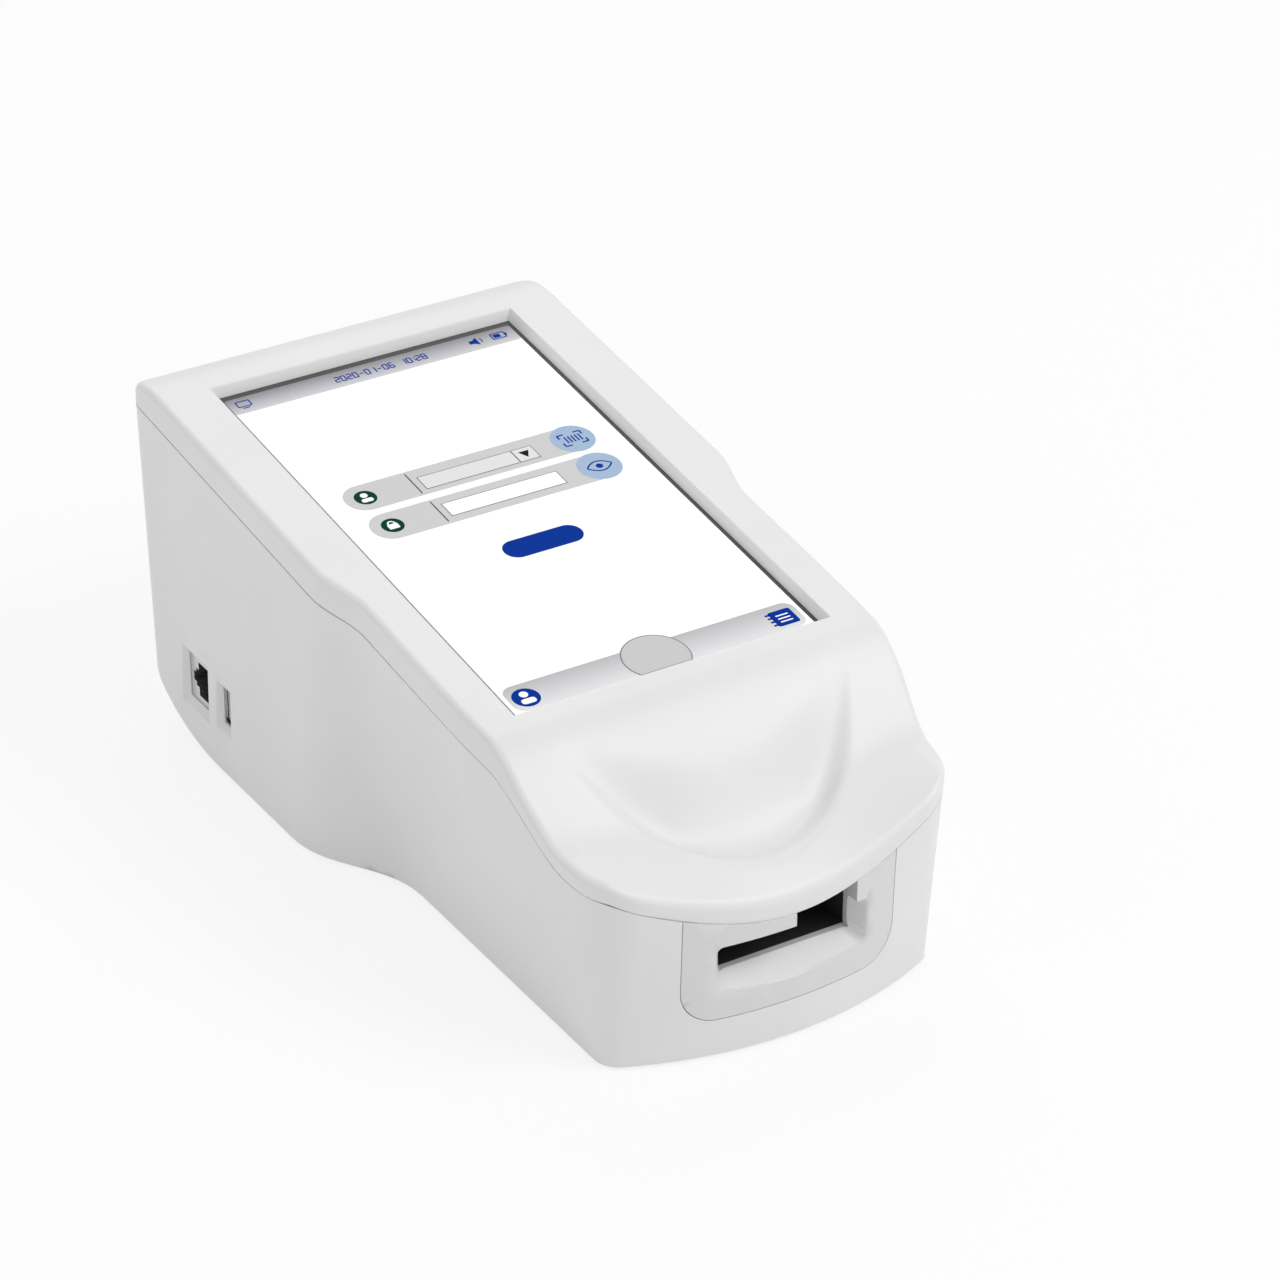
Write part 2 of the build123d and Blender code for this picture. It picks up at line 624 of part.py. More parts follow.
def panel_prism(grow):
    """Straight column through the nose wall with the slot panel's outline."""
    half = PANEL_HALF + grow
    low = PANEL_BOTTOM - grow
    corner = PANEL_CORNER + grow
    cut = corner * (1 - sqrt(0.5))
    high = SCREEN_HEIGHT
    face = Face(Wire([
        Line((-half, high), (-half, low + corner)),
        ThreePointArc((-half, low + corner), (-half + cut, low + cut), (-half + corner, low)),
        Line((-half + corner, low), (half - corner, low)),
        ThreePointArc((half - corner, low), (half - cut, low + cut), (half, low + corner)),
        Line((half, low + corner), (half, high)),
        Line((half, high), (-half, high)),
    ]))
    plane = Plane(origin=(0, NOSE_Y + 12, 0), x_dir=(1, 0, 0), z_dir=(0, -1, 0))
    return extrude(plane * face, amount=20)


def front_panel(outer, inner, under_seam):
    """Slot panel: the nose's own skin, a funnel, the stepped mouth for a card, two snap tabs."""
    column = panel_prism(0) & (Pos(0, 0, -SEAM_GAP) * under_seam)
    skin = (outer & column) - inner
    throat = block(-FUNNEL_HALF - THROAT_WALL, FUNNEL_HALF + THROAT_WALL, NOSE_Y + 1, NOSE_Y + THROAT_DEPTH,
                   FUNNEL_BOTTOM - THROAT_WALL, SCREEN_HEIGHT) & outer & column
    tabs = []
    for side in (-1, 1):
        arm = sorted((side * (PANEL_HALF - 4.0), side * (PANEL_HALF - 0.6)))
        hook = sorted((side * (PANEL_HALF - 4.0), side * (PANEL_HALF + 2.6)))
        tabs.append(block(*arm, NOSE_Y + 5.5, NOSE_Y + 11.0, 20.0, 32.0))
        tabs.append(block(*hook, NOSE_Y + 9.0, NOSE_Y + 11.0, 20.0, 32.0))
    mouth = Plane(origin=(0, NOSE_Y - 0.5, 0), x_dir=(1, 0, 0), z_dir=(0, 1, 0))

    def section(half, low, depth):
        mid = (low + SLOT_CEILING) / 2
        return mouth.offset(depth) * Pos(0, -mid) * RectangleRounded(2 * half, SLOT_CEILING - low, 2.5)

    funnel = loft([section(FUNNEL_HALF, FUNNEL_BOTTOM, 0), section(SLOT_HALF, SLOT_FLOOR, FUNNEL_DEPTH)])
    through = block(-SLOT_HALF, SLOT_HALF, NOSE_Y - 1, NOSE_Y + 20, SLOT_FLOOR, SLOT_CEILING)
    tall = block(TALL_LEFT, TALL_RIGHT, NOSE_Y - 1, NOSE_Y + 20, SLOT_CEILING - 1, SCREEN_HEIGHT)
    return skin + throat + tabs - [funnel, through, tall]


def battery_door():
    half_x = BATTERY_SIZE[0] / 2 + BATTERY_CLEAR + DOOR_SIDE
    half_y = BATTERY_SIZE[1] / 2 + BATTERY_CLEAR + DOOR_END
    door = block(-half_x, half_x, BATTERY_Y - half_y, BATTERY_Y + half_y, FOOT_PROUD, FOOT_PROUD + DOOR_THICK)
    door = fillet(door.edges().filter_by(Axis.Z), 3.0)
    for x, y in door_screw_places():
        door = door - tube(x, y, 0, 10, SCREW_HOLE) - tube(x, y, 0, FOOT_PROUD + 1.3, HEAD_BORE)
    return door


def battery_pack():
    size_x, size_y, size_z = BATTERY_SIZE
    pack = block(-size_x / 2, size_x / 2, BATTERY_Y - size_y / 2, BATTERY_Y + size_y / 2,
                 FOOT_PROUD + DOOR_THICK, FOOT_PROUD + DOOR_THICK + size_z)
    return fillet(pack.edges().filter_by(Axis.Y), 4.0)


def door_screws():
    low = FOOT_PROUD + 1.3
    return Compound([Pos(x, y, low) * screw(2.4, SCREW_SHANK, 5.5) for x, y in door_screw_places()])


def cover_screws():
    screws = []
    for x, y in both_sides(SCREW_POSITIONS):
        low = boss_seat(y) - SEAT_THICK
        screws.append(Pos(x, y, low) * screw(HEAD_RADIUS, SCREW_SHANK, SEAT_THICK + 4.5))
    return Compound(screws)


def rubber_feet():
    """Round pads sunk in the underside, domed at the edge."""
    feet = []
    for x, y in feet_places():
        foot = tube(x, y, 0, FOOT_PROUD + FOOT_SINK, FOOT_RADIUS)
        feet.append(chamfer(foot.edges().sort_by(Axis.Z)[0], 0.5))
    return Compound(feet)


def main_board():
    """Board with its processor shield, chips and connectors as one soldered piece."""
    width, length = MAIN_BOARD
    low = MAIN_BOARD_Z
    high = low + BOARD_THICK
    board = block(-width / 2, width / 2, MAIN_BOARD_Y - length / 2, MAIN_BOARD_Y + length / 2, low, high)
    board = fillet(board.edges().filter_by(Axis.Z), 2.0)
    board = board + block(-18, 18, MAIN_BOARD_Y - 16, MAIN_BOARD_Y + 14, high, high + 3.2)
    for i in range(3):
        board = board + block(-40 + 12 * i, -32 + 12 * i, MAIN_BOARD_Y + 26, MAIN_BOARD_Y + 40, high, high + 1.4)
        board = board + block(26 + 8 * i, 31 + 8 * i, MAIN_BOARD_Y - 34, MAIN_BOARD_Y - 14, high, high + 5.5)
    for x, y in board_screw_places():
        board = board - tube(x, y, 0, 60, SCREW_HOLE)
    return board


def board_screws():
    top = MAIN_BOARD_Z + BOARD_THICK
    return Compound([
        Pos(x, y, top) * Rot(180, 0, 0) * screw(2.4, SCREW_SHANK, 5.5) for x, y in board_screw_places()])


def port_board():
    """Upright board behind the left wall that carries both sockets."""
    x = port_board_x()
    board = block(x, x + BOARD_THICK, USB_Y - 12, ETHERNET_Y + 15, PORT_HEIGHT - 11, PORT_HEIGHT + 19)
    for y, z in port_board_screw_places():
        board = board - Pos(x, y, z) * Rot(0, 90, 0) * Cylinder(SCREW_HOLE, 8)
    return board


def port_board_screws():
    x = port_board_x() + BOARD_THICK
    return Compound([
        Pos(x, y, z) * Rot(0, -90, 0) * screw(2.4, SCREW_SHANK, 5.5) for y, z in port_board_screw_places()])


def ethernet_jack():
    """Upright network socket: metal shield, stepped latch slot, contact comb."""
    front = -REAR_HALF_FOOT + SOCKET_SUNK
    back = port_board_x()
    half_y = ETHERNET_HIGH / 2
    half_z = ETHERNET_WIDE / 2
    jack = block(front, back, ETHERNET_Y - half_y, ETHERNET_Y + half_y, PORT_HEIGHT - half_z, PORT_HEIGHT + half_z)
    low = ETHERNET_Y - half_y
    cavity = block(front - 1, front + 13, low + 1.6, low + 8.4, PORT_HEIGHT - 5.95, PORT_HEIGHT + 5.95)
    latch = block(front - 1, front + 13, low + 8, low + 10.2, PORT_HEIGHT - 3.1, PORT_HEIGHT + 3.1)
    catch = block(front - 1, front + 9, low + 10, low + 11.7, PORT_HEIGHT - 1.7, PORT_HEIGHT + 1.7)
    jack = jack - cavity - latch - catch
    for i in range(8):
        z = PORT_HEIGHT + (i - 3.5) * 1.02
        jack = jack + block(front + 4, front + 13.2, low + 1.5, low + 2.1, z - 0.25, z + 0.25)
    return jack


def usb_port():
    """Upright USB socket: folded steel shell with its contact tongue."""
    front = -REAR_HALF_FOOT + SOCKET_SUNK
    back = port_board_x()
    half_y = USB_HIGH / 2
    half_z = USB_WIDE / 2
    shell = block(front, back, USB_Y - half_y, USB_Y + half_y, PORT_HEIGHT - half_z, PORT_HEIGHT + half_z)
    hollow = block(front - 1, front + 9.5, USB_Y - half_y + 0.3, USB_Y + half_y - 0.3,
                   PORT_HEIGHT - half_z + 0.3, PORT_HEIGHT + half_z - 0.3)
    tongue = block(front + 0.8, front + 10, USB_Y + 0.5, USB_Y + half_y - 0.6, PORT_HEIGHT - 5.4, PORT_HEIGHT + 5.4)
    return shell - hollow + tongue


def power_board():
    y = power_board_y()
    low = REAR_BAY_LOW - 2
    board = block(-REAR_BAY_HALF - 2, REAR_BAY_HALF + 2, y - BOARD_THICK, y, low, REAR_BAY_HIGH + 2)
    for x, z in power_board_screw_places():
        board = board - Pos(x, y, z) * Rot(90, 0, 0) * Cylinder(SCREW_HOLE, 8)
    return board


def power_board_screws():
    y = power_board_y() - BOARD_THICK
    return Compound([
        Pos(x, y, z) * Rot(-90, 0, 0) * screw(2.4, SCREW_SHANK, 5.5) for x, z in power_board_screw_places()])


def dc_inlet():
    """Barrel power socket, its centre pin inside."""
    z = (REAR_BAY_LOW + REAR_BAY_HIGH) / 2
    y = power_board_y()
    wall = rear_face() - WALL
    body = block(INLET_X - 5.5, INLET_X + 5.5, y, wall, z - 5.5, z + 5.5)
    nose = Pos(INLET_X, wall, z) * Rot(-90, 0, 0) * Cylinder(4.0, WALL - 0.2, align=CENTRED)
    hole = Pos(INLET_X, rear_face() + 1, z) * Rot(90, 0, 0) * Cylinder(2.8, 10.5, align=CENTRED)
    pin = Pos(INLET_X, rear_face() - 1, z) * Rot(90, 0, 0) * Cylinder(1.05, 9.5, align=CENTRED)
    return body + nose - hole + pin


def power_switch():
    """Push switch on the power board; the button's stem slides in it."""
    z = (REAR_BAY_LOW + REAR_BAY_HIGH) / 2
    y = power_board_y()
    body = block(BUTTON_X - 4, BUTTON_X + 4, y, y + 6, z - 4, z + 4)
    bore = Pos(BUTTON_X, y + 7, z) * Rot(90, 0, 0) * Cylinder(2.0 + RUNNING_CLEAR, 6, align=CENTRED)
    return body - bore


def power_button():
    """Round cap with a stop flange behind the wall and a stem into the switch."""
    z = (REAR_BAY_LOW + REAR_BAY_HIGH) / 2
    face = rear_face()
    back = face - WALL - 0.1
    cap = Pos(BUTTON_X, face + BUTTON_PROUD, z) * Rot(90, 0, 0) * Cylinder(
        BUTTON_RADIUS, BUTTON_PROUD + WALL + 0.3, align=CENTRED)
    cap = fillet(cap.edges().sort_by(Axis.Y)[-1], 0.8)
    flange = Pos(BUTTON_X, back, z) * Rot(90, 0, 0) * Cylinder(BUTTON_RADIUS + 1.2, 1.0, align=CENTRED)
    stem_end = power_board_y() + 6 - 2.6
    stem = Pos(BUTTON_X, back, z) * Rot(90, 0, 0) * Cylinder(2.0, back - stem_end, align=CENTRED)
    return cap + flange + stem


def speaker():
    x, y = speaker_place()
    cone = tube(x, y, FLOOR_TOP, FLOOR_TOP + SPEAKER_HEIGHT, SPEAKER_RADIUS)
    return cone - tube(x, y, FLOOR_TOP - 1, FLOOR_TOP + 1.2, SPEAKER_RADIUS - 2)


def bay_half():
    """Half width inside the card bay."""
    return SLOT_HALF + BAY_CLEAR


def card_guide():
    """Tray behind the slot: floor with a heater window, rails, end wall with the lever's ears."""
    top = SLOT_FLOOR - 0.2
    low = top - GUIDE_FLOOR
    half = bay_half() + RAIL_WALL
    tray = block(-half, half, BAY_FRONT, BAY_END + RAIL_WALL, low, top + RAIL_HEIGHT)
    tray = tray - block(-bay_half(), bay_half(), BAY_FRONT - 1, BAY_END, top, top + RAIL_HEIGHT + 1)
    for x, y in guide_screw_places():
        side = x / abs(x)
        ear = sorted((side * (half - 0.5), x + side * 3.5))
        tray = tray + block(*ear, y - 4, y + 4, low, low + 2.0) - tube(x, y, 0, low + 3, SCREW_HOLE)
    window = heater_box(0.2)
    tray = tray - window
    slot = block(LEVER_X - 3.2, LEVER_X + 3.2, BAY_END - 1, BAY_END + 5, top - 0.8, top + RAIL_HEIGHT - 2.6)
    tray = tray - slot
    for side in (-1, 1):
        ear = block(LEVER_X + side * 4.0 - 0.8, LEVER_X + side * 4.0 + 0.8, BAY_END + 1, BAY_END + 6.4,
                    pivot_z() - 2.4, top + RAIL_HEIGHT)
        tray = tray + ear
    return tray - pivot_bore(PIN_RADIUS + 0.02)


def heater_box(grow):
    """The heater plate's space in the tray's floor."""
    top = SLOT_FLOOR - 0.2
    return block(-15 - grow, 15 + grow, BAY_FRONT + 12 - grow, BAY_END - 8 + grow, top - GUIDE_FLOOR - 1, top)


def heater_plate():
    top = SLOT_FLOOR - 0.2
    plate = block(-15, 15, BAY_FRONT + 12, BAY_END - 8, top - GUIDE_FLOOR, top)
    flange = block(-19, 19, BAY_FRONT + 9, BAY_END - 5, top - GUIDE_FLOOR - 1.5, top - GUIDE_FLOOR)
    return plate + flange


def pivot_z():
    return SLOT_FLOOR - 0.2 + RAIL_HEIGHT - 2.8


def pivot_y():
    return BAY_END + 4.2


def pivot_bore(radius):
    return Pos(LEVER_X - 6, pivot_y(), pivot_z()) * Rot(0, 90, 0) * Cylinder(radius, 12, align=CENTRED)


def lever_pin():
    return Pos(LEVER_X - 4.9, pivot_y(), pivot_z()) * Rot(0, 90, 0) * Cylinder(PIN_RADIUS, 9.8, align=CENTRED)


def card_lever():
    """Hanging finger that the end of a card pushes back."""
    hub = Pos(LEVER_X - 2.6, pivot_y(), pivot_z()) * Rot(0, 90, 0) * Cylinder(1.9, 5.2, align=CENTRED)
    low = SLOT_FLOOR + 1.8
    finger = Face(Wire([
        Line((pivot_y() + 1.2, pivot_z()), (pivot_y() - 0.2, low)),
        Line((pivot_y() - 0.2, low), (BAY_END - 2.4, low + 0.6)),
        Line((BAY_END - 2.4, low + 0.6), (BAY_END - 2.4, low + 2.6)),
        Line((BAY_END - 2.4, low + 2.6), (pivot_y() - 1.6, pivot_z())),
        Line((pivot_y() - 1.6, pivot_z()), (pivot_y() + 1.2, pivot_z())),
    ]))
    blade = extrude(Plane(origin=(LEVER_X, 0, 0), x_dir=(0, 1, 0), z_dir=(1, 0, 0)) * finger, amount=2.4, both=True)
    return hub + blade - pivot_bore(PIN_RADIUS + RUNNING_CLEAR)


def tall_top():
    """Height of the tallest part of a card in the bay."""
    return seam_z(TALL_RIGHT, NOSE_Y) - 0.5


def arm_low():
    return tall_top() + CLAMP_CLEAR + 1.0


def frame_top():
    """Underside of the clamp frame's upper plate."""
    return arm_low() + 5.0 + 4.0


def clamp_frame():
    """Folded steel frame of the clamp: base plate over the motor, back wall, top plate."""
    y = clamp_y()
    low = clamp_base_z()
    sheet = FRAME_SHEET
    base = block(-31, 31, y - 10, y + 11, low, low + sheet)
    back = block(-25, 25, y + 11 - sheet, y + 11, low, frame_top() + sheet)
    top = block(-25, 25, y - 8, y + 11, frame_top(), frame_top() + sheet)
    frame = base + back + top
    for x, dy in ((-27, -6), (27, -6), (-27, 6), (27, 6)):
        frame = frame - tube(x, y + dy, 0, 60, SCREW_HOLE)
    for side in (-1, 1):
        frame = frame - tube(side * ROD_SPACING / 2, y, low - 1, frame_top() + 5, ROD_RADIUS)
    return frame - tube(0, y, low - 1, frame_top() + 5, SCREW_RADIUS + RUNNING_CLEAR)


def clamp_screws():
    top = clamp_base_z() + FRAME_SHEET
    return Compound([
        Pos(x, y, top) * Rot(180, 0, 0) * screw(2.4, SCREW_SHANK, 5.5) for x, y in clamp_screw_places()])


def guide_screws():
    top = SLOT_FLOOR - 0.2 - GUIDE_FLOOR + 2.0
    return Compound([
        Pos(x, y, top) * Rot(180, 0, 0) * screw(2.4, SCREW_SHANK, 6.0) for x, y in guide_screw_places()])


def guide_rods():
    low = clamp_base_z()
    return Compound([
        tube(side * ROD_SPACING / 2, clamp_y(), low, frame_top() + FRAME_SHEET, ROD_RADIUS)
        for side in (-1, 1)])


def clamp_motor():
    """Small stepping motor under the frame, its shaft is the clamp screw."""
    y = clamp_y()
    half = MOTOR_SIDE / 2
    top = clamp_base_z()
    body = block(-half, half, y - half, y + half, top - MOTOR_HEIGHT, top)
    body = chamfer(body.edges().filter_by(Axis.Z), 2.0)
    return body - tube(0, y, top - 6, top + 1, SCREW_RADIUS + RUNNING_CLEAR)


def clamp_screw():
    """Lead screw: smooth journals and a coarse threaded length shown by its grooves."""
    y = clamp_y()
    low = clamp_base_z() - 5.8
    return tube(0, y, low, frame_top() + FRAME_SHEET + 1.2, SCREW_RADIUS)


def clamp_carriage():
    """Block on the two rods with the arm that reaches over the card."""
    y = clamp_y()
    low = arm_low()
    body = block(-24, 24, y - 6, y + 6, low - 7, low + 4.5)
    arm = block(-20, 20, y - 40, y - 6, low, low + 4.5)
    arm = arm - block(-9, 9, y - 34, y - 12, low + 1.5, low + 6)
    carriage = body + arm
    for side in (-1, 1):
        carriage = carriage - tube(side * ROD_SPACING / 2, y, 0, 90, ROD_RADIUS + RUNNING_CLEAR)
        rib = block(side * 19 - 1, side * 19 + 1, y - 38, y - 5, low + 4, low + 5.5)
        carriage = carriage + (rib - tube(side * ROD_SPACING / 2, y, 0, 90, ROD_RADIUS + RUNNING_CLEAR))
    return carriage - tube(0, y, 0, 90, SCREW_RADIUS + RUNNING_CLEAR)


def contact_block():
    """Row of sprung contacts that meet the card's pads."""
    y = clamp_y()
    low = arm_low()
    tip = SLOT_CEILING + CLAMP_TRAVEL + 0.1
    body = block(-19, -3, y - 36, y - 16, tip + 1.5, low)
    for i in range(6):
        for j in range(2):
            body = body + tube(-17 + 2.4 * i, y - 31 + 10 * j, tip, tip + 2, 0.5)
    return body


def write_parts():
    os.makedirs("parts", exist_ok=True)
    outer = housing_form(0)
    inner = housing_form(WALL)
    under_face = region_under(face_z, 0, 3, 3)
    under_seam = region_under(seam_z, SEAM_GAP / 2, 12, 4)
    nodes = {
        "top_cover": top_cover(outer, inner, under_face, under_seam),
        "base_shell": base_shell(outer, inner, under_seam),
        "front_panel": front_panel(outer, inner, under_seam),
        "battery_door": battery_door(),
        "rubber_feet": rubber_feet(),
        "cover_screws": cover_screws(),
        "door_screws": door_screws(),
        "touch_glass": touch_glass(),
        "display_gasket": display_gasket(),
        "display_panel": display_panel(),
        "display_frame": display_frame(),
        "display_screws": display_screws(),
        "main_board": main_board(),
        "board_screws": board_screws(),
        "port_board": port_board(),
        "port_board_screws": port_board_screws(),
        "ethernet_jack": ethernet_jack(),
        "usb_port": usb_port(),
        "power_board": power_board(),
        "power_board_screws": power_board_screws(),
        "dc_inlet": dc_inlet(),
        "power_switch": power_switch(),
        "power_button": power_button(),
        "battery_pack": battery_pack(),
        "speaker": speaker(),
        "card_guide": card_guide(),
        "guide_screws": guide_screws(),
        "heater_plate": heater_plate(),
        "card_lever": card_lever(),
        "lever_pin": lever_pin(),
        "clamp_frame": clamp_frame(),
        "clamp_screws": clamp_screws(),
        "guide_rods": guide_rods(),
        "clamp_motor": clamp_motor(),
        "clamp_screw": clamp_screw(),
        "clamp_carriage": clamp_carriage(),
        "contact_block": contact_block(),
    }
    for name, shape in nodes.items():
        export_step(shape, f"parts/{name}.step")


if __name__ == "__main__":
    write_parts()
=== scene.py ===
"""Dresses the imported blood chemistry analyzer.

It adds the moulded skins, the lit screen's picture, the finishes, the light and the camera.
"""

import json
import logging
import math
from collections.abc import Sequence
from dataclasses import dataclass
from enum import Enum

import bmesh
import bpy
import numpy as np
from mathutils import Matrix, Vector


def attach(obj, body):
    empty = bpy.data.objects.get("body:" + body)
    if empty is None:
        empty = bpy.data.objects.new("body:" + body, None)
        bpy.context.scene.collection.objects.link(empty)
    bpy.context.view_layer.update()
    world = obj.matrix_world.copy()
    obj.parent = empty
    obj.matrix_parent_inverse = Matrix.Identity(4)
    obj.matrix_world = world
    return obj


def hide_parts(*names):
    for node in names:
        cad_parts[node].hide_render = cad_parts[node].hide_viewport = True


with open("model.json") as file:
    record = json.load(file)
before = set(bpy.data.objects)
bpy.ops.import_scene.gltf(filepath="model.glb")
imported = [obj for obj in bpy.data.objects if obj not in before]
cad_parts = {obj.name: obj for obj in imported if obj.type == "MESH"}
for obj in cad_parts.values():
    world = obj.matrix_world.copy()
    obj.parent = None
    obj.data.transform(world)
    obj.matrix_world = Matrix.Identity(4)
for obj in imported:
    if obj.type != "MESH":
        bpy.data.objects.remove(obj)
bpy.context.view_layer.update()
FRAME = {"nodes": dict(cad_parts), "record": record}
NODES = FRAME["nodes"]
SLOTS = {part["node"]: part["material_slot"] for part in FRAME["record"]["subparts"]}

MM = 0.001
LOG = logging.getLogger("analyzer")

Colour = tuple[float, float, float]
Place = tuple[float, float, float]
Outlines = tuple[np.ndarray, np.ndarray, np.ndarray]
Socket = bpy.types.NodeSocket


class Grain(Enum):
    """Surface texture of a moulded piece: its grains a metre and how strong they are."""

    FINE = (2600.0, 0.06)
    COARSE = (900.0, 0.2)
    POLISHED = (0.0, 0.0)


@dataclass(frozen=True)
class Plastic:
    """Moulded plastic: a base colour with a faint mottle and a fine moulded grain."""

    name: str
    colour: Colour
    roughness: float = 0.42
    grain: Grain = Grain.FINE
    coat: float = 0.0
    coat_roughness: float = 0.08
    mottle: float = 0.015
    mottle_scale: float = 28.0
    relief: float = 0.00004

    def material(self) -> bpy.types.Material:
        """Builds the node material.

        Returns:
            The material, its colour varied by slow noise and its normal by fine noise.
        """
        build = NodeBuild(self.name)
        low = tuple(c * (1 - self.mottle) for c in self.colour)
        high = tuple(min(c * (1 + self.mottle), 1) for c in self.colour)
        slow = build.noise(self.mottle_scale, 3.0)
        build.shade("Base Color", build.ramp(slow, [(0.3, low), (0.7, high)]))
        build.value("Roughness", self.roughness)
        build.value("Coat Weight", self.coat)
        build.value("Coat Roughness", self.coat_roughness)
        if self.grain is not Grain.POLISHED:
            scale, strength = self.grain.value
            build.bump(build.noise(scale, 2.0), strength, self.relief)
        return build.material


@dataclass(frozen=True)
class Metal:
    """Plated or ground metal with brushed streaks along one axis."""

    name: str
    colour: Colour
    roughness: float = 0.28
    streak: Place = (40.0, 900.0, 900.0)
    darker: float = 0.88
    smoothest: float = -0.07
    roughest: float = 0.09
    relief: float = 0.00003

    def material(self) -> bpy.types.Material:
        """Builds the node material.

        Returns:
            The material, its colour and roughness varied by stretched noise.
        """
        build = NodeBuild(self.name)
        streaks = build.noise(1.0, 4.0, self.streak)
        low = tuple(c * self.darker for c in self.colour)
        build.shade("Base Color", build.ramp(streaks, [(0.25, low), (0.75, self.colour)]))
        build.shade("Roughness", build.spread(
            streaks, self.roughness + self.smoothest, self.roughness + self.roughest))
        build.value("Metallic", 1.0)
        build.bump(streaks, 0.08, self.relief)
        return build.material


@dataclass(frozen=True)
class Board:
    """Printed circuit board: solder mask over faint copper tracks."""

    name: str
    mask: Colour
    track: Colour
    cells: float = 260.0
    roughness: float = 0.35
    coat: float = 0.4
    relief: float = 0.00003

    def material(self) -> bpy.types.Material:
        """Builds the node material.

        Returns:
            The material, with the borders of a cell pattern as tracks under the mask.
        """
        build = NodeBuild(self.name)
        borders = build.borders(self.cells)
        build.shade("Base Color", build.ramp(borders, [(0.12, self.track), (0.2, self.mask)]))
        build.value("Roughness", self.roughness)
        build.value("Coat Weight", self.coat)
        build.bump(borders, 0.12, self.relief)
        return build.material


@dataclass(frozen=True)
class Lit:
    """A lit part of the picture behind the glass, plain or with a gradient to a second colour.

    The gradient runs along one axis: across holds its middle and half length in metres, and
    the axis as 0, 1 or 2.
    """

    name: str
    colour: Colour
    glow: float = 0.28
    across: tuple[float, float, int] = (0.0, 0.0, 0)
    second: Colour | None = None
    fade: float = 0.985
    cloud_scale: float = 9.0
    roughness: float = 0.5
    specular: float = 0.02

    def material(self) -> bpy.types.Material:
        """Builds the node material.

        Returns:
            The material: nearly matt, and lit a little from behind in its own colour.
        """
        build = NodeBuild(self.name)
        if self.second is None:
            mix = build.noise(self.cloud_scale, 1.0)
            other = tuple(c * self.fade for c in self.colour)
        else:
            mix = build.gradient(*self.across)
            other = self.second
        colour = build.ramp(mix, [(0.0, self.colour), (1.0, other)])
        build.shade("Base Color", colour)
        build.shade("Emission Color", colour)
        build.value("Emission Strength", self.glow)
        build.value("Roughness", self.roughness)
        build.value("Specular IOR Level", self.specular)
        return build.material


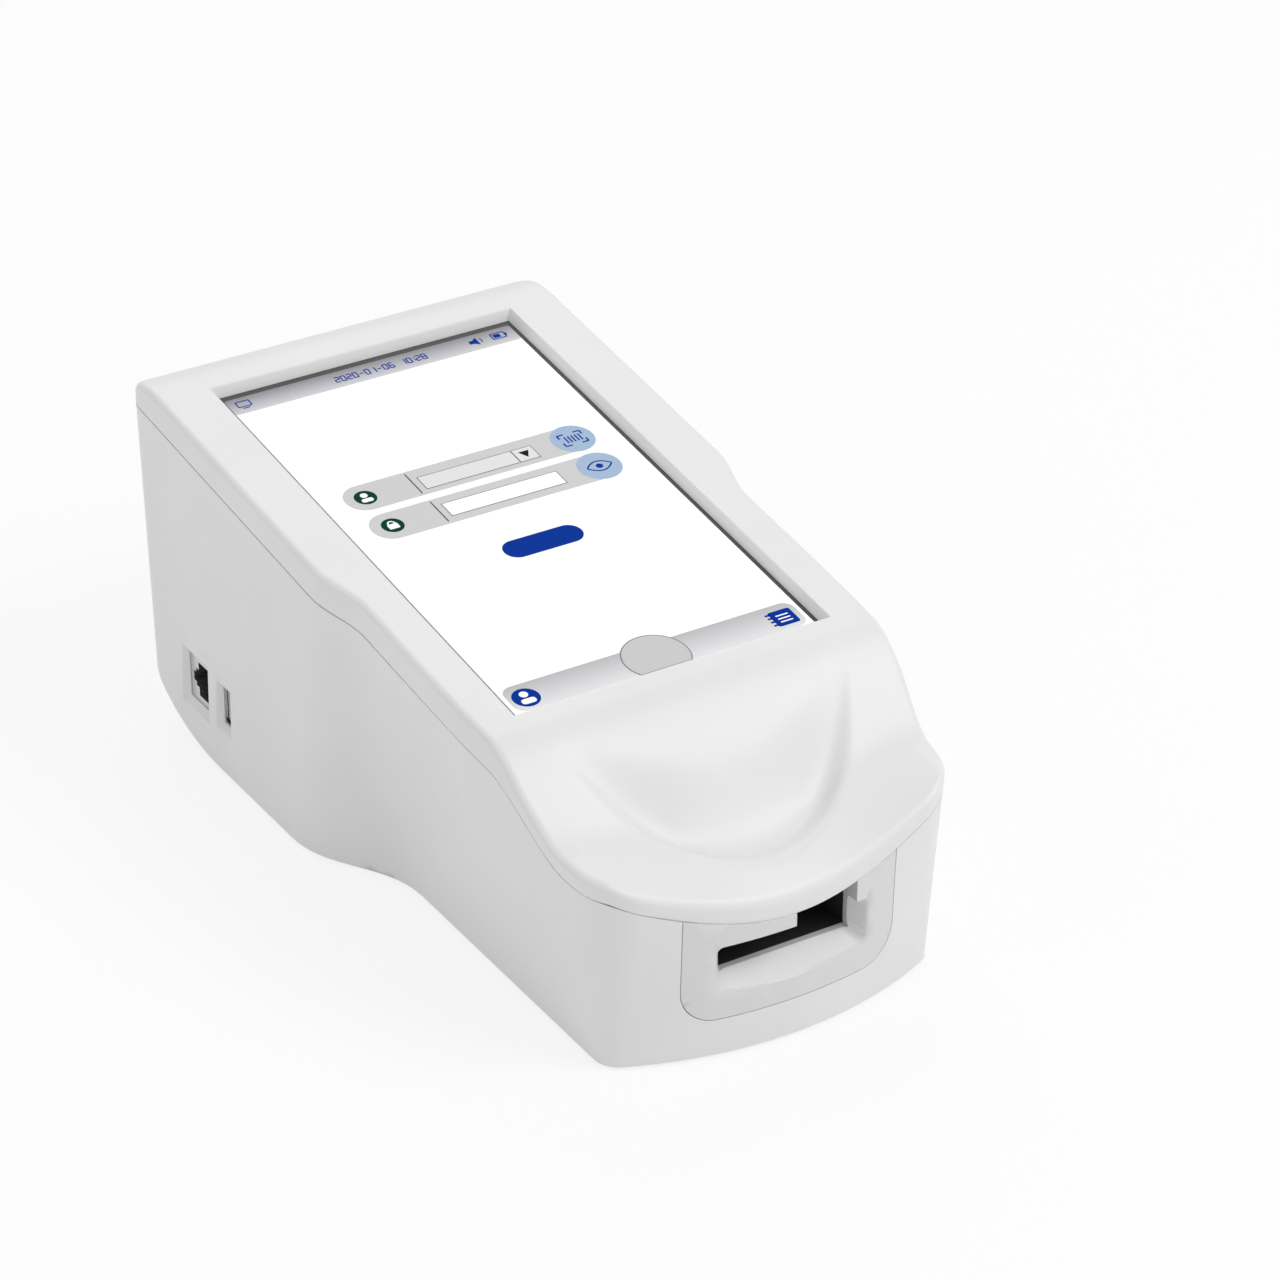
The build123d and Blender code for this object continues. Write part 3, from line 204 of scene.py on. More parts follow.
class NodeBuild:
    """Small helper that adds nodes to one material and links them."""

    def __init__(self, name: str) -> None:
        """Starts a material with a Principled shader and Object coordinates.

        Args:
            name: the material's name.
        """
        self.material = bpy.data.materials.new(name)
        self.material.use_nodes = True
        tree = self.material.node_tree
        self.nodes = tree.nodes
        self.links = tree.links
        self.shader = self.nodes["Principled BSDF"]
        self.place = self.nodes.new("ShaderNodeTexCoord").outputs["Object"]

    def value(self, socket: str, amount: float) -> None:
        """Sets a constant on the shader's own socket."""
        self.shader.inputs[socket].default_value = amount

    def shade(self, socket: str, source: Socket) -> None:
        """Links a pattern into a shader socket."""
        self.links.new(source, self.shader.inputs[socket])

    def noise(self, scale: float, detail: float, stretch: Place = (1.0, 1.0, 1.0)) -> Socket:
        """Adds fractal noise on Object coordinates.

        Args:
            scale: how many features a metre.
            detail: octaves.
            stretch: scale along each axis.

        Returns:
            The noise's value socket.
        """
        mapping = self.nodes.new("ShaderNodeMapping")
        mapping.inputs["Scale"].default_value = stretch
        self.links.new(self.place, mapping.inputs["Vector"])
        node = self.nodes.new("ShaderNodeTexNoise")
        node.inputs["Scale"].default_value = scale
        node.inputs["Detail"].default_value = detail
        self.links.new(mapping.outputs["Vector"], node.inputs["Vector"])
        return node.outputs["Fac"]

    def borders(self, scale: float) -> Socket:
        """Adds the borders of a cell pattern.

        Args:
            scale: how many cells a metre.

        Returns:
            The distance to the nearest border.
        """
        node = self.nodes.new("ShaderNodeTexVoronoi")
        node.feature = "DISTANCE_TO_EDGE"
        node.inputs["Scale"].default_value = scale
        self.links.new(self.place, node.inputs["Vector"])
        return node.outputs["Distance"]

    def gradient(self, middle: float, half: float, axis: int) -> Socket:
        """Adds a straight ramp along one axis of the object.

        Args:
            middle: middle of the ramp in metres.
            half: its half length in metres.
            axis: 0, 1 or 2.

        Returns:
            A value that rises from 0 at the ramp's low end to 1 at its high end.
        """
        split = self.nodes.new("ShaderNodeSeparateXYZ")
        self.links.new(self.place, split.inputs["Vector"])
        ranged = self.nodes.new("ShaderNodeMapRange")
        ranged.inputs["From Min"].default_value = middle - half
        ranged.inputs["From Max"].default_value = middle + half
        self.links.new(split.outputs[axis], ranged.inputs["Value"])
        return ranged.outputs["Result"]

    def ramp(self, source: Socket, stops: list[tuple[float, Colour]]) -> Socket:
        """Turns a value into a colour.

        Args:
            source: the value.
            stops: pairs of place and colour.

        Returns:
            The colour socket.
        """
        node = self.nodes.new("ShaderNodeValToRGB")
        bar = node.color_ramp
        while len(bar.elements) < len(stops):
            bar.elements.new(0.5)
        for element, (place, colour) in zip(bar.elements, stops):
            element.position = place
            element.color = (*colour, 1.0)
        self.links.new(source, node.inputs["Fac"])
        return node.outputs["Color"]

    def spread(self, source: Socket, low: float, high: float) -> Socket:
        """Maps a value from 0 to 1 onto a range.

        Args:
            source: the value.
            low: what 0 becomes.
            high: what 1 becomes.

        Returns:
            The mapped value.
        """
        node = self.nodes.new("ShaderNodeMapRange")
        node.inputs["To Min"].default_value = low
        node.inputs["To Max"].default_value = high
        self.links.new(source, node.inputs["Value"])
        return node.outputs["Result"]

    def bump(self, source: Socket, strength: float, distance: float) -> None:
        """Feeds a height into the shader's normal.

        Args:
            source: the height, from 0 to 1.
            strength: share of the effect.
            distance: what a height of 1 stands for, in metres.
        """
        node = self.nodes.new("ShaderNodeBump")
        node.inputs["Strength"].default_value = strength
        node.inputs["Distance"].default_value = distance
        self.links.new(source, node.inputs["Height"])
        self.links.new(node.outputs["Normal"], self.shader.inputs["Normal"])


PIECE_FINISHES = (
    Plastic("shell_white", (0.775, 0.775, 0.772)),
    Plastic("panel_grey", (0.69, 0.69, 0.695)),
    Plastic("rubber_grey", (0.05, 0.05, 0.053), 0.75, Grain.COARSE),
    Metal("screw_steel", (0.56, 0.57, 0.59)),
    Plastic("cover_glass", (0.004, 0.004, 0.005), 0.08, Grain.POLISHED, 1.0),
    Plastic("foam_black", (0.02, 0.02, 0.02), 0.9, Grain.COARSE),
    Plastic("display_white", (0.75, 0.78, 0.82), 0.3),
    Metal("pressed_steel", (0.60, 0.61, 0.62), 0.35),
    Board("board_green", (0.01, 0.09, 0.035), (0.03, 0.16, 0.06)),
    Metal("socket_metal", (0.62, 0.62, 0.63), 0.25),
    Plastic("socket_black", (0.018, 0.018, 0.018), 0.5),
    Plastic("button_grey", (0.17, 0.18, 0.20), 0.45),
    Plastic("battery_wrap", (0.02, 0.04, 0.12), 0.3, Grain.POLISHED, 0.3),
    Plastic("guide_black", (0.03, 0.03, 0.032), 0.5),
    Metal("heater_alu", (0.66, 0.66, 0.67), 0.33),
    Metal("contact_gold", (0.75, 0.55, 0.22), 0.22),
    Metal("rod_steel", (0.62, 0.63, 0.65), 0.15),
    Plastic("motor_case", (0.07, 0.075, 0.08), 0.4, Grain.COARSE),
)

SCREEN_FINISHES = (
    Lit("lit_white", (0.82, 0.82, 0.82), 0.30),
    Lit("lit_bar", (0.62, 0.62, 0.65), 0.2, (0.1020, 0.005, 1), (0.24, 0.24, 0.26)),
    Lit("lit_dock", (0.72, 0.72, 0.74), 0.15, (-0.0610, 0.0075, 1), (0.42, 0.42, 0.43)),
    Lit("lit_badge", (0.53, 0.525, 0.53), 0.15),
    Lit("lit_grey", (0.56, 0.56, 0.56), 0.15),
    Lit("lit_edge", (0.20, 0.20, 0.20), 0.1),
    Lit("lit_field", (0.66, 0.66, 0.67), 0.2),
    Lit("lit_pale_blue", (0.34, 0.45, 0.60), 0.15),
    Lit("lit_blue", (0.0, 0.030, 0.27), 0.15),
    Lit("lit_green", (0.0, 0.045, 0.018), 0.1),
    Lit("lit_ink", (0.01, 0.01, 0.01), 0.0),
)


def finish_mesh(name: str, mesh: bpy.types.Mesh, material: bpy.types.Material,
                angle: float) -> bpy.types.Object:
    """Puts a mesh into the scene, smooth apart from edges sharper than an angle.

    Args:
        name: object name.
        mesh: the mesh, in metres.
        material: its one material.
        angle: largest angle in degrees that stays smooth.

    Returns:
        The new object.
    """
    mesh.materials.clear()
    mesh.materials.append(material)
    mesh.update()
    mesh.shade_smooth()
    mesh.set_sharp_from_angle(angle=math.radians(angle))
    piece = bpy.data.objects.new(name, mesh)
    bpy.context.scene.collection.objects.link(piece)
    return piece


def grid_mesh(name: str, points: np.ndarray) -> bpy.types.Mesh:
    """Closed ring of closed profiles: a grid of points that wraps in both directions.

    Args:
        name: mesh name.
        points: array (rows, columns, 3) in millimetres.

    Returns:
        The quad mesh in metres.
    """
    rows, columns = points.shape[:2]
    index = np.arange(rows * columns).reshape(rows, columns)
    right = np.roll(index, -1, axis=1)
    up = np.roll(index, -1, axis=0)
    both = np.roll(up, -1, axis=1)
    quads = np.stack([index, right, both, up], axis=-1).reshape(-1, 4)
    mesh = bpy.data.meshes.new(name)
    mesh.from_pydata((points.reshape(-1, 3) * MM).tolist(), [], quads.tolist())
    return mesh


def plate_mesh(name: str, outlines: list[np.ndarray], low: float, high: float,
               place: Matrix) -> bpy.types.Mesh:
    """Thin plates with the given flat outlines, as one mesh.

    Args:
        name: mesh name.
        outlines: arrays (n, 2) in millimetres, each counter-clockwise.
        low: height of the underside.
        high: height of the top.
        place: from the plates' plane to the object.

    Returns:
        The mesh in metres: for each outline a top, an underside and the wall between.
    """
    points, faces, start = [], [], 0
    for outline in outlines:
        count = len(outline)
        for height in (low, high):
            points.append(np.column_stack([outline, np.full(count, height)]))
        ring = np.arange(count)
        after = np.roll(ring, -1)
        wall = np.stack([ring, after, after + count, ring + count], axis=-1)
        faces.append((start + count + ring).tolist())
        faces.append((start + ring[::-1]).tolist())
        faces.extend((start + wall).tolist())
        start += 2 * count
    turn = np.array(place)
    placed = np.concatenate(points) @ turn[:3, :3].T + turn[:3, 3]
    mesh = bpy.data.meshes.new(name)
    mesh.from_pydata((placed * MM).tolist(), [], faces)
    return mesh


def ease(t: np.ndarray) -> np.ndarray:
    """Smooth step from 0 to 1: 3t^2 - 2t^3 between the ends."""
    t = np.clip(t, 0, 1)
    return t * t * (3 - 2 * t)


def straight(a: np.ndarray, b: np.ndarray, count: int) -> np.ndarray:
    """Straight run from a to b, without its last point."""
    return a + (b - a) * np.linspace(0, 1, count, endpoint=False)[:, None]


def arc(centre: np.ndarray, radius: float, first: float, last: float, count: int) -> np.ndarray:
    """Arc: the centre plus the radius times cosine and sine of each angle.

    Args:
        centre: its centre (2).
        radius: its radius.
        first: first angle in radians.
        last: last angle in radians.
        count: how many points, the last one left out.

    Returns:
        Points (count, 2).
    """
    turn = np.linspace(first, last, count, endpoint=False)
    return centre + radius * np.column_stack([np.cos(turn), np.sin(turn)])


def flowing(a: np.ndarray, b: np.ndarray, from_a: np.ndarray, to_b: np.ndarray,
            count: int) -> np.ndarray:
    """Cubic Hermite curve between two points, its end tangents as long as the chord.

    Args:
        a: first point (2).
        b: last point (2).
        from_a: unit direction in which it leaves a.
        to_b: unit direction in which it comes to b.
        count: how many points, the last one left out.

    Returns:
        Points (count, 2).
    """
    size = float(np.linalg.norm(b - a))
    t = np.linspace(0, 1, count, endpoint=False)[:, None]
    return ((2 * t ** 3 - 3 * t ** 2 + 1) * a + (t ** 3 - 2 * t ** 2 + t) * size * from_a
            + (-2 * t ** 3 + 3 * t ** 2) * b + (t ** 3 - t ** 2) * size * to_b)


def disc(u: float, v: float, radius: float, steps: int = 48) -> np.ndarray:
    """Circle as an outline, counter-clockwise."""
    return arc(np.array([u, v]), radius, 0, 2 * np.pi, steps)


def rounded(u0: float, u1: float, v0: float, v1: float, radius: float,
            steps: int = 12) -> np.ndarray:
    """Rectangle with four arcs for corners.

    Args:
        u0: left side.
        u1: right side.
        v0: lower side.
        v1: upper side.
        radius: of the corners.
        steps: points in each arc.

    Returns:
        The outline, counter-clockwise from the lower right.
    """
    parts = []
    corners = ((u1 - radius, v0 + radius, -90), (u1 - radius, v1 - radius, 0),
               (u0 + radius, v1 - radius, 90), (u0 + radius, v0 + radius, 180))
    for u, v, start in corners:
        turn = np.radians(np.linspace(start, start + 90, steps))
        parts.append(np.column_stack([u + radius * np.cos(turn), v + radius * np.sin(turn)]))
    return np.concatenate(parts)


@dataclass(frozen=True)
class WallShape:
    """Plan of the housing's wall at one level, in millimetres and degrees."""

    half_rear: float
    half_front: float
    lean: float
    waist_rear: float
    waist_front: float
    taper: float
    corner: float
    bow: float
    set_back: float


@dataclass(frozen=True)
class Scoop:
    """The thumb scoop: a dish between two curved edges, in millimetres."""

    half: float = 49.0
    depth: float = 6.0
    top: float = 29.0
    top_rise: float = 17.0
    top_power: float = 1.6
    tip: float = 58.5
    tip_rise: float = 39.5
    tip_power: float = 2.2
    deepest: float = 0.62
    side_fade: float = 0.55

    def depth_at(self, x: np.ndarray, ahead: np.ndarray) -> np.ndarray:
        """Depth: a smooth step down from the top edge times one up to the tip and one to each end.

        Args:
            x: place across.
            ahead: distance in front of the picture's lower edge.

        Returns:
            The depth, 0 outside the scoop.
        """
        side = np.abs(x) / self.half
        within = np.minimum(side, 0.9999)
        top = self.top - self.top_rise * within ** self.top_power
        tip = self.tip - self.tip_rise * within ** self.tip_power
        t = (ahead - top) / (tip - top)
        dish = ease(t / self.deepest) * ease((1 - t) / (1 - self.deepest))
        depth = self.depth * dish * ease((1 - within) / self.side_fade)
        return np.where((side < 1) & (t > 0) & (t < 1), depth, 0.0)


@dataclass(frozen=True)
class Housing:
    """The housing's outer form, with the source's own values in millimetres."""

    nose_y: float = -135.5
    rear_y: float = 135.5
    screen_y: float = -68.5
    screen_z: float = 85.4
    slope: float = 0.1219
    foot_z: float = 1.0
    wall: float = 2.6
    rear_corner: float = 12.0
    taper_start: float = -20.0
    foot: WallShape = WallShape(72.5, 55.0, 11.0, 97.0, 48.0, 0.0, 8.0, 123.0, 0.0)
    seam: WallShape = WallShape(70.0, 65.4, 0.0, 84.0, 60.0, 9.0, 20.0, 300.0, 0.0)
    crown: WallShape = WallShape(69.4, 64.8, 0.0, 84.0, 60.0, 9.0, 20.0, 300.0, 0.3)
    crown_reach: float = 24.0
    seam_drop: float = 6.5
    seam_step: float = 15.0
    seam_step_start: float = 9.0
    seam_step_reach: float = 34.0
    face_rise: float = 3.5
    face_step: float = 18.5
    face_step_start: float = 8.0
    face_step_reach: float = 35.0
    nose_fall: float = 14.8
    nose_fall_start: float = 25.0
    nose_fall_reach: float = 42.0
    nose_fall_end: float = 71.0
    nose_fall_half: float = 55.0
    nose_fall_power: float = 1.5
    brow_radius: float = 30.0
    brow_reach: float = 22.0
    brow_limit: float = 25.0
    scoop: Scoop = Scoop()

    def glass_z(self, y: np.ndarray) -> np.ndarray:
        """Height of the glass plane."""
        return self.screen_z + self.slope * (y - self.screen_y)

    def fall(self, x: np.ndarray, ahead: np.ndarray) -> np.ndarray:
        """Extra fall of the nose's middle: a power of the way along times a parabola across.

        Args:
            x: place across.
            ahead: distance in front of the picture's lower edge.

        Returns:
            The fall.
        """
        start = np.minimum(ahead, self.nose_fall_end) - self.nose_fall_start
        along = (np.clip(start, 0, None) / self.nose_fall_reach) ** self.nose_fall_power
        across = np.clip(1 - (x / self.nose_fall_half) ** 2, 0, None)
        return self.nose_fall * along * across

    def seam_z(self, x: np.ndarray, y: np.ndarray) -> np.ndarray:
        """Height of the seam: the glass plane less the drop, a smooth step and the nose's fall.

        Args:
            x: place across.
            y: place along.

        Returns:
            The height.
        """
        ahead = self.screen_y - y
        step = self.seam_step * ease((ahead - self.seam_step_start) / self.seam_step_reach)
        return self.glass_z(y) - self.seam_drop - step - self.fall(x, ahead)

    def face_z(self, x: np.ndarray, y: np.ndarray) -> np.ndarray:
        """Height of the cover's face: glass plane plus rise, less step, fall, scoop and brow.

        Args:
            x: place across.
            y: place along.

        Returns:
            The height.
        """
        ahead = self.screen_y - y
        brow = np.clip(y - (self.rear_y - self.brow_reach), 0, self.brow_limit)
        drop = self.brow_radius - np.sqrt(self.brow_radius ** 2 - brow ** 2)
        step = self.face_step * ease((ahead - self.face_step_start) / self.face_step_reach)
        lowered = step + self.fall(x, ahead) + self.scoop.depth_at(x, ahead) + drop
        return self.glass_z(y) + self.face_rise - lowered

    def outline(self, shape: WallShape, inset: float, counts: tuple[int, ...]) -> np.ndarray:
        """Plan outline: rear edge, corner, side, waist and nose curves, corner and bowed front.

        The nose corner touches both the tapered side and the bow: its centre lies on a line
        along the side, where its distance from the bow's centre is the bow less the corner.

        Args:
            shape: the wall's plan at this level.
            inset: how far inside the outer form.
            counts: samples in each of the seven stretches of the right half.

        Returns:
            Closed outline (n, 2) from the middle of the rear edge, clockwise seen from above.
        """
        half_rear, half_front = shape.half_rear - inset, shape.half_front - inset
        corner, bow = shape.corner - inset, shape.bow - inset
        rear_corner = self.rear_corner - inset
        rear_y = self.rear_y - shape.lean - inset
        front_y = self.nose_y + shape.set_back + inset
        taper = math.radians(shape.taper)
        along = np.array([-math.sin(taper), -math.cos(taper)])
        inward = np.array([-math.cos(taper), math.sin(taper)])
        bow_centre = np.array([0.0, front_y + bow])
        off = np.array([half_front, self.screen_y + self.taper_start]) + inward * corner
        to = off - bow_centre
        half_b = float(to @ along)
        run = -half_b + math.sqrt(half_b ** 2 - (float(to @ to) - (bow - corner) ** 2))
        middle = off + along * run
        side = middle - inward * corner
        out = (middle - bow_centre) / np.linalg.norm(middle - bow_centre)
        side_angle = math.atan2(*(side - middle)[::-1])
        end_angle = math.atan2(out[1], out[0])

        down = np.array([0.0, -1.0])
        rear = np.array([half_rear, self.screen_y + shape.waist_rear])
        front = np.array([half_front, self.screen_y + shape.waist_front])
        corner_place = np.array([half_rear - rear_corner, rear_y - rear_corner])
        corner_start = np.array([half_rear - rear_corner, rear_y])
        corner_end = np.array([half_rear, rear_y - rear_corner])
        right = np.concatenate([
            straight(np.array([0.0, rear_y]), corner_start, counts[0]),
            arc(corner_place, rear_corner, math.pi / 2, 0, counts[1]),
            straight(corner_end, rear, counts[2]),
            flowing(rear, front, down, down, counts[3]),
            flowing(front, side, down, along, counts[4]),
            arc(middle, corner, side_angle, end_angle, counts[5]),
            arc(bow_centre, bow, end_angle, -math.pi / 2, counts[6]),
        ])
        left = right[1:][::-1] * np.array([-1.0, 1.0])
        return np.concatenate([right, [[0.0, front_y]], left])

    def wall_at(self, height: np.ndarray, lines: Outlines) -> np.ndarray:
        """Plan point of each wall line: straight from foot to seam outline and on to the crown.

        Args:
            height: wanted height of each line.
            lines: foot, seam and crown outlines.

        Returns:
            Points (n, 2).
        """
        foot, seam, crown = lines
        seam_height = self.glass_z(seam[:, 1]) - self.seam_drop
        crown_height = self.glass_z(crown[:, 1]) - self.seam_drop + self.crown_reach
        low = np.clip((height - self.foot_z) / (seam_height - self.foot_z), 0, 1)
        high = np.clip((height - seam_height) / (crown_height - seam_height), 0, 1)
        return np.where((height <= seam_height)[:, None], foot + (seam - foot) * low[:, None],
                        seam + (crown - seam) * high[:, None])


@dataclass(frozen=True)
class CoverSkin:
    """The moulded cover: rounded rim, scoop, bevelled screen opening and the wall's inside.

    Each wall line of the housing carries one closed profile: up the side, round the rim,
    inwards over the face, down the bevel to the glass and back along the inside.
    """

    housing: Housing
    material: bpy.types.Material
    counts: tuple[int, ...] = (40, 22, 60, 50, 110, 60, 90)
    front_shift: int = 34
    settling: int = 4
    seam_gap: float = 0.3
    hem: float = 0.35
    hem_share: float = 0.3
    hem_dip: float = 0.3
    side_steps: int = 4
    rim: float = 2.2
    rim_share: float = 0.6
    rim_first: float = 80.0
    rim_steps: int = 9
    half_opening: float = 51.2
    opening_low: float = -1.2
    opening_high: float = 178.9
    bevel: float = 1.2
    lip: float = 0.5
    lip_dips: tuple[tuple[float, float], ...] = ((0.45, 0.06), (0.8, 0.22), (1.0, 0.5))
    band_steps: int = 46
    mouth_lifts: tuple[float, float] = (0.15, 0.05)
    ledge_lip: float = 0.6
    ledge_height: float = 1.0
    ledge: float = 4.8
    ledge_end_height: float = 0.95
    inside_steps: int = 18
    inside_drop: float = 0.4
    inner_foot: float = 0.8
    inner_room: float = 0.1
    thinnest: float = 0.3
    smooth_angle: float = 38.0

    def outlines(self, inset: float) -> Outlines:
        """Foot, seam and crown outlines, all sampled alike."""
        form = self.housing
        shapes = (form.foot, form.seam, form.crown)
        return tuple(form.outline(shape, inset, self.counts) for shape in shapes)

    def rim_of(self, tall: np.ndarray) -> np.ndarray:
        """Rim radius of each line, less where the cover is low."""
        return np.minimum(self.rim, tall * self.rim_share)

    def heights(self, outer: Outlines) -> tuple[np.ndarray, np.ndarray]:
        """Finds where each outer wall line starts over the seam and where it meets the face.

        The plan point depends on the height and the height on the plan point, so both are
        settled in turns.

        Args:
            outer: foot, seam and crown outlines of the outer form.

        Returns:
            Lower and upper height of each line.
        """
        form = self.housing
        low = form.seam_z(*outer[1].T) + self.seam_gap / 2
        for _ in range(self.settling):
            low = form.seam_z(*form.wall_at(low, outer).T) + self.seam_gap / 2
        high = form.face_z(*outer[2].T)
        for _ in range(self.settling):
            high = form.face_z(*form.wall_at(high - self.rim_of(high - low), outer).T)
        return low, high

    def opening(self, spread: float) -> np.ndarray:
        """Rectangle in plan that matches the wall lines point for point.

        Args:
            spread: how far outside the picture's own opening.

        Returns:
            Points (n, 2), three straight runs in each half.
        """
        cosine = 1 / math.sqrt(1 + self.housing.slope ** 2)
        half = self.half_opening + spread
        rear = self.housing.screen_y + (self.opening_high + spread) * cosine
        front = self.housing.screen_y + (self.opening_low - spread) * cosine
        middle = sum(self.counts)
        rear_break = self.counts[0] + self.counts[1] // 2
        front_break = sum(self.counts[:5]) - self.front_shift
        knots = np.array([0, rear_break, front_break, middle])
        place = np.arange(middle + 1)
        x = np.interp(place, knots, [0.0, half, half, 0.0])
        y = np.interp(place, knots, [rear, rear, front, front])
        right = np.column_stack([x, y])
        left = right[1:-1][::-1] * np.array([-1.0, 1.0])
        return np.concatenate([right, left])

    def on_face(self, flat: np.ndarray, sink: float | np.ndarray = 0.0) -> np.ndarray:
        """Lifts plan points to the face, less a sink."""
        return np.column_stack([flat, self.housing.face_z(*flat.T) - sink])

    def over_glass(self, flat: np.ndarray, lift: float) -> np.ndarray:
        """Lifts plan points to a height over the glass plane."""
        return np.column_stack([flat, self.housing.glass_z(flat[:, 1]) + lift])

    def side_rows(self, outer: Outlines, normal: np.ndarray, low: np.ndarray,
                  top: np.ndarray, hem: np.ndarray) -> list[np.ndarray]:
        """Hem, a chamfer over the seam, and the side wall up to where the rim starts.

        Args:
            outer: outlines of the outer form.
            normal: inward direction of each line.
            low: height of the cover's lower edge.
            top: height where the rim starts.
            hem: size of the chamfer.

        Returns:
            Rows of points.
        """
        form = self.housing
        bottom = form.wall_at(low, outer)
        inwards = normal * hem[:, None]
        rows = [np.column_stack([bottom + inwards, low]),
                np.column_stack([bottom + inwards * self.hem_dip, low + hem * self.hem_dip])]
        for t in np.linspace(0, 1, self.side_steps + 1):
            height = low + hem + (top - low - hem) * t
            rows.append(np.column_stack([form.wall_at(height, outer), height]))
        return rows

    def rim_rows(self, start: np.ndarray, normal: np.ndarray,
                 rim: np.ndarray) -> list[np.ndarray]:
        """The rounded rim: a quarter circle from the side wall to the face.

        Args:
            start: plan points where the rim leaves the side wall.
            normal: inward direction of each line.
            rim: radius of each line.

        Returns:
            Rows of points.
        """
        return [self.on_face(start + normal * rim[:, None] * (1 - math.sin(angle)),
                             rim * (1 - math.cos(angle)))
                for angle in np.radians(np.linspace(self.rim_first, 0, self.rim_steps))]

    def opening_rows(self, start: np.ndarray) -> list[np.ndarray]:
        """The face from the rim inwards, the softened lip, the bevel and the ledge on the glass.

        Args:
            start: plan points where the rim ends.

        Returns:
            Rows of points.
        """
        edge = self.opening(self.bevel + self.lip)
        rows = [self.on_face(start + (edge - start) * t)
                for t in np.linspace(0, 1, self.band_steps + 1)[1:]]
        inner = self.opening(self.bevel)
        rows += [self.on_face(edge + (inner - edge) * t, dip) for t, dip in self.lip_dips]
        mouth = self.opening(0.0)
        rows += [self.over_glass(mouth, lift) for lift in self.mouth_lifts]
        ledge_start = self.housing.glass_z(mouth[:, 1]) + self.ledge_height
        rows.append(np.column_stack([self.opening(self.ledge_lip), ledge_start]))
        rows.append(self.over_glass(self.opening(self.ledge), self.ledge_end_height))
        return rows

    def inside_rows(self, low: np.ndarray, high: np.ndarray) -> list[np.ndarray]:
        """The wall's inside, from the ledge outwards and down to the lower edge.

        Args:
            low: height of the cover's lower edge.
            high: height of the face at the wall.

        Returns:
            Rows of points.
        """
        form = self.housing
        inner = self.outlines(form.wall)
        start = self.opening(self.ledge)
        goal = form.wall_at(high - form.wall - self.inside_drop, inner)
        room = form.face_z(*goal.T) - low - self.inner_foot - self.inner_room
        last = np.clip(room, self.thinnest, form.wall)
        rows = [self.on_face(start + (goal - start) * t, form.wall + (last - form.wall) * t)
                for t in np.linspace(0, 1, self.inside_steps)]
        bottom = form.wall_at(low, inner)
        return rows + [np.column_stack([bottom, low + self.inner_foot]),
                       np.column_stack([bottom, low])]

    def points(self) -> np.ndarray:
        """Works out the closed profile of every wall line.

        Returns:
            Array (lines, profile points, 3) in millimetres.
        """
        outer = self.outlines(0.0)
        ahead = np.roll(outer[1], -1, axis=0) - np.roll(outer[1], 1, axis=0)
        normal = np.column_stack([ahead[:, 1], -ahead[:, 0]])
        normal = normal / np.linalg.norm(normal, axis=1)[:, None]
        low, high = self.heights(outer)
        rim = self.rim_of(high - low)
        hem = np.minimum(self.hem, (high - low) * self.hem_share)
        rim_start = self.housing.wall_at(high - rim, outer)
        rows = self.side_rows(outer, normal, low, high - rim, hem)
        rows += self.rim_rows(rim_start, normal, rim)
        rows += self.opening_rows(rim_start + normal * rim[:, None])
        rows += self.inside_rows(low, high)
        return np.stack(rows, axis=1)

    def build(self) -> bpy.types.Object:
        """Makes the cover's object in place of the CAD node."""
        mesh = grid_mesh("cover_skin", self.points())
        return finish_mesh("cover_skin", mesh, self.material, self.smooth_angle)


@dataclass(frozen=True)
class SmoothCopy:
    """A merged, smooth-shaded copy of a CAD node, in its place."""

    node: str
    material: bpy.types.Material
    smooth_angle: float = 24.0
    merge_distance: float = 2e-6

    def build(self) -> bpy.types.Object:
        """Copies the node's mesh, merges its doubles and smooths it apart from its edges.

        Returns:
            The new object.
        """
        mesh = NODES[self.node].data.copy()
        mesh.name = f"{self.node}_skin"
        welded = bmesh.new()
        welded.from_mesh(mesh)
        bmesh.ops.remove_doubles(welded, verts=welded.verts, dist=self.merge_distance)
        welded.to_mesh(mesh)
        welded.free()
        return finish_mesh(f"{self.node}_skin", mesh, self.material, self.smooth_angle)


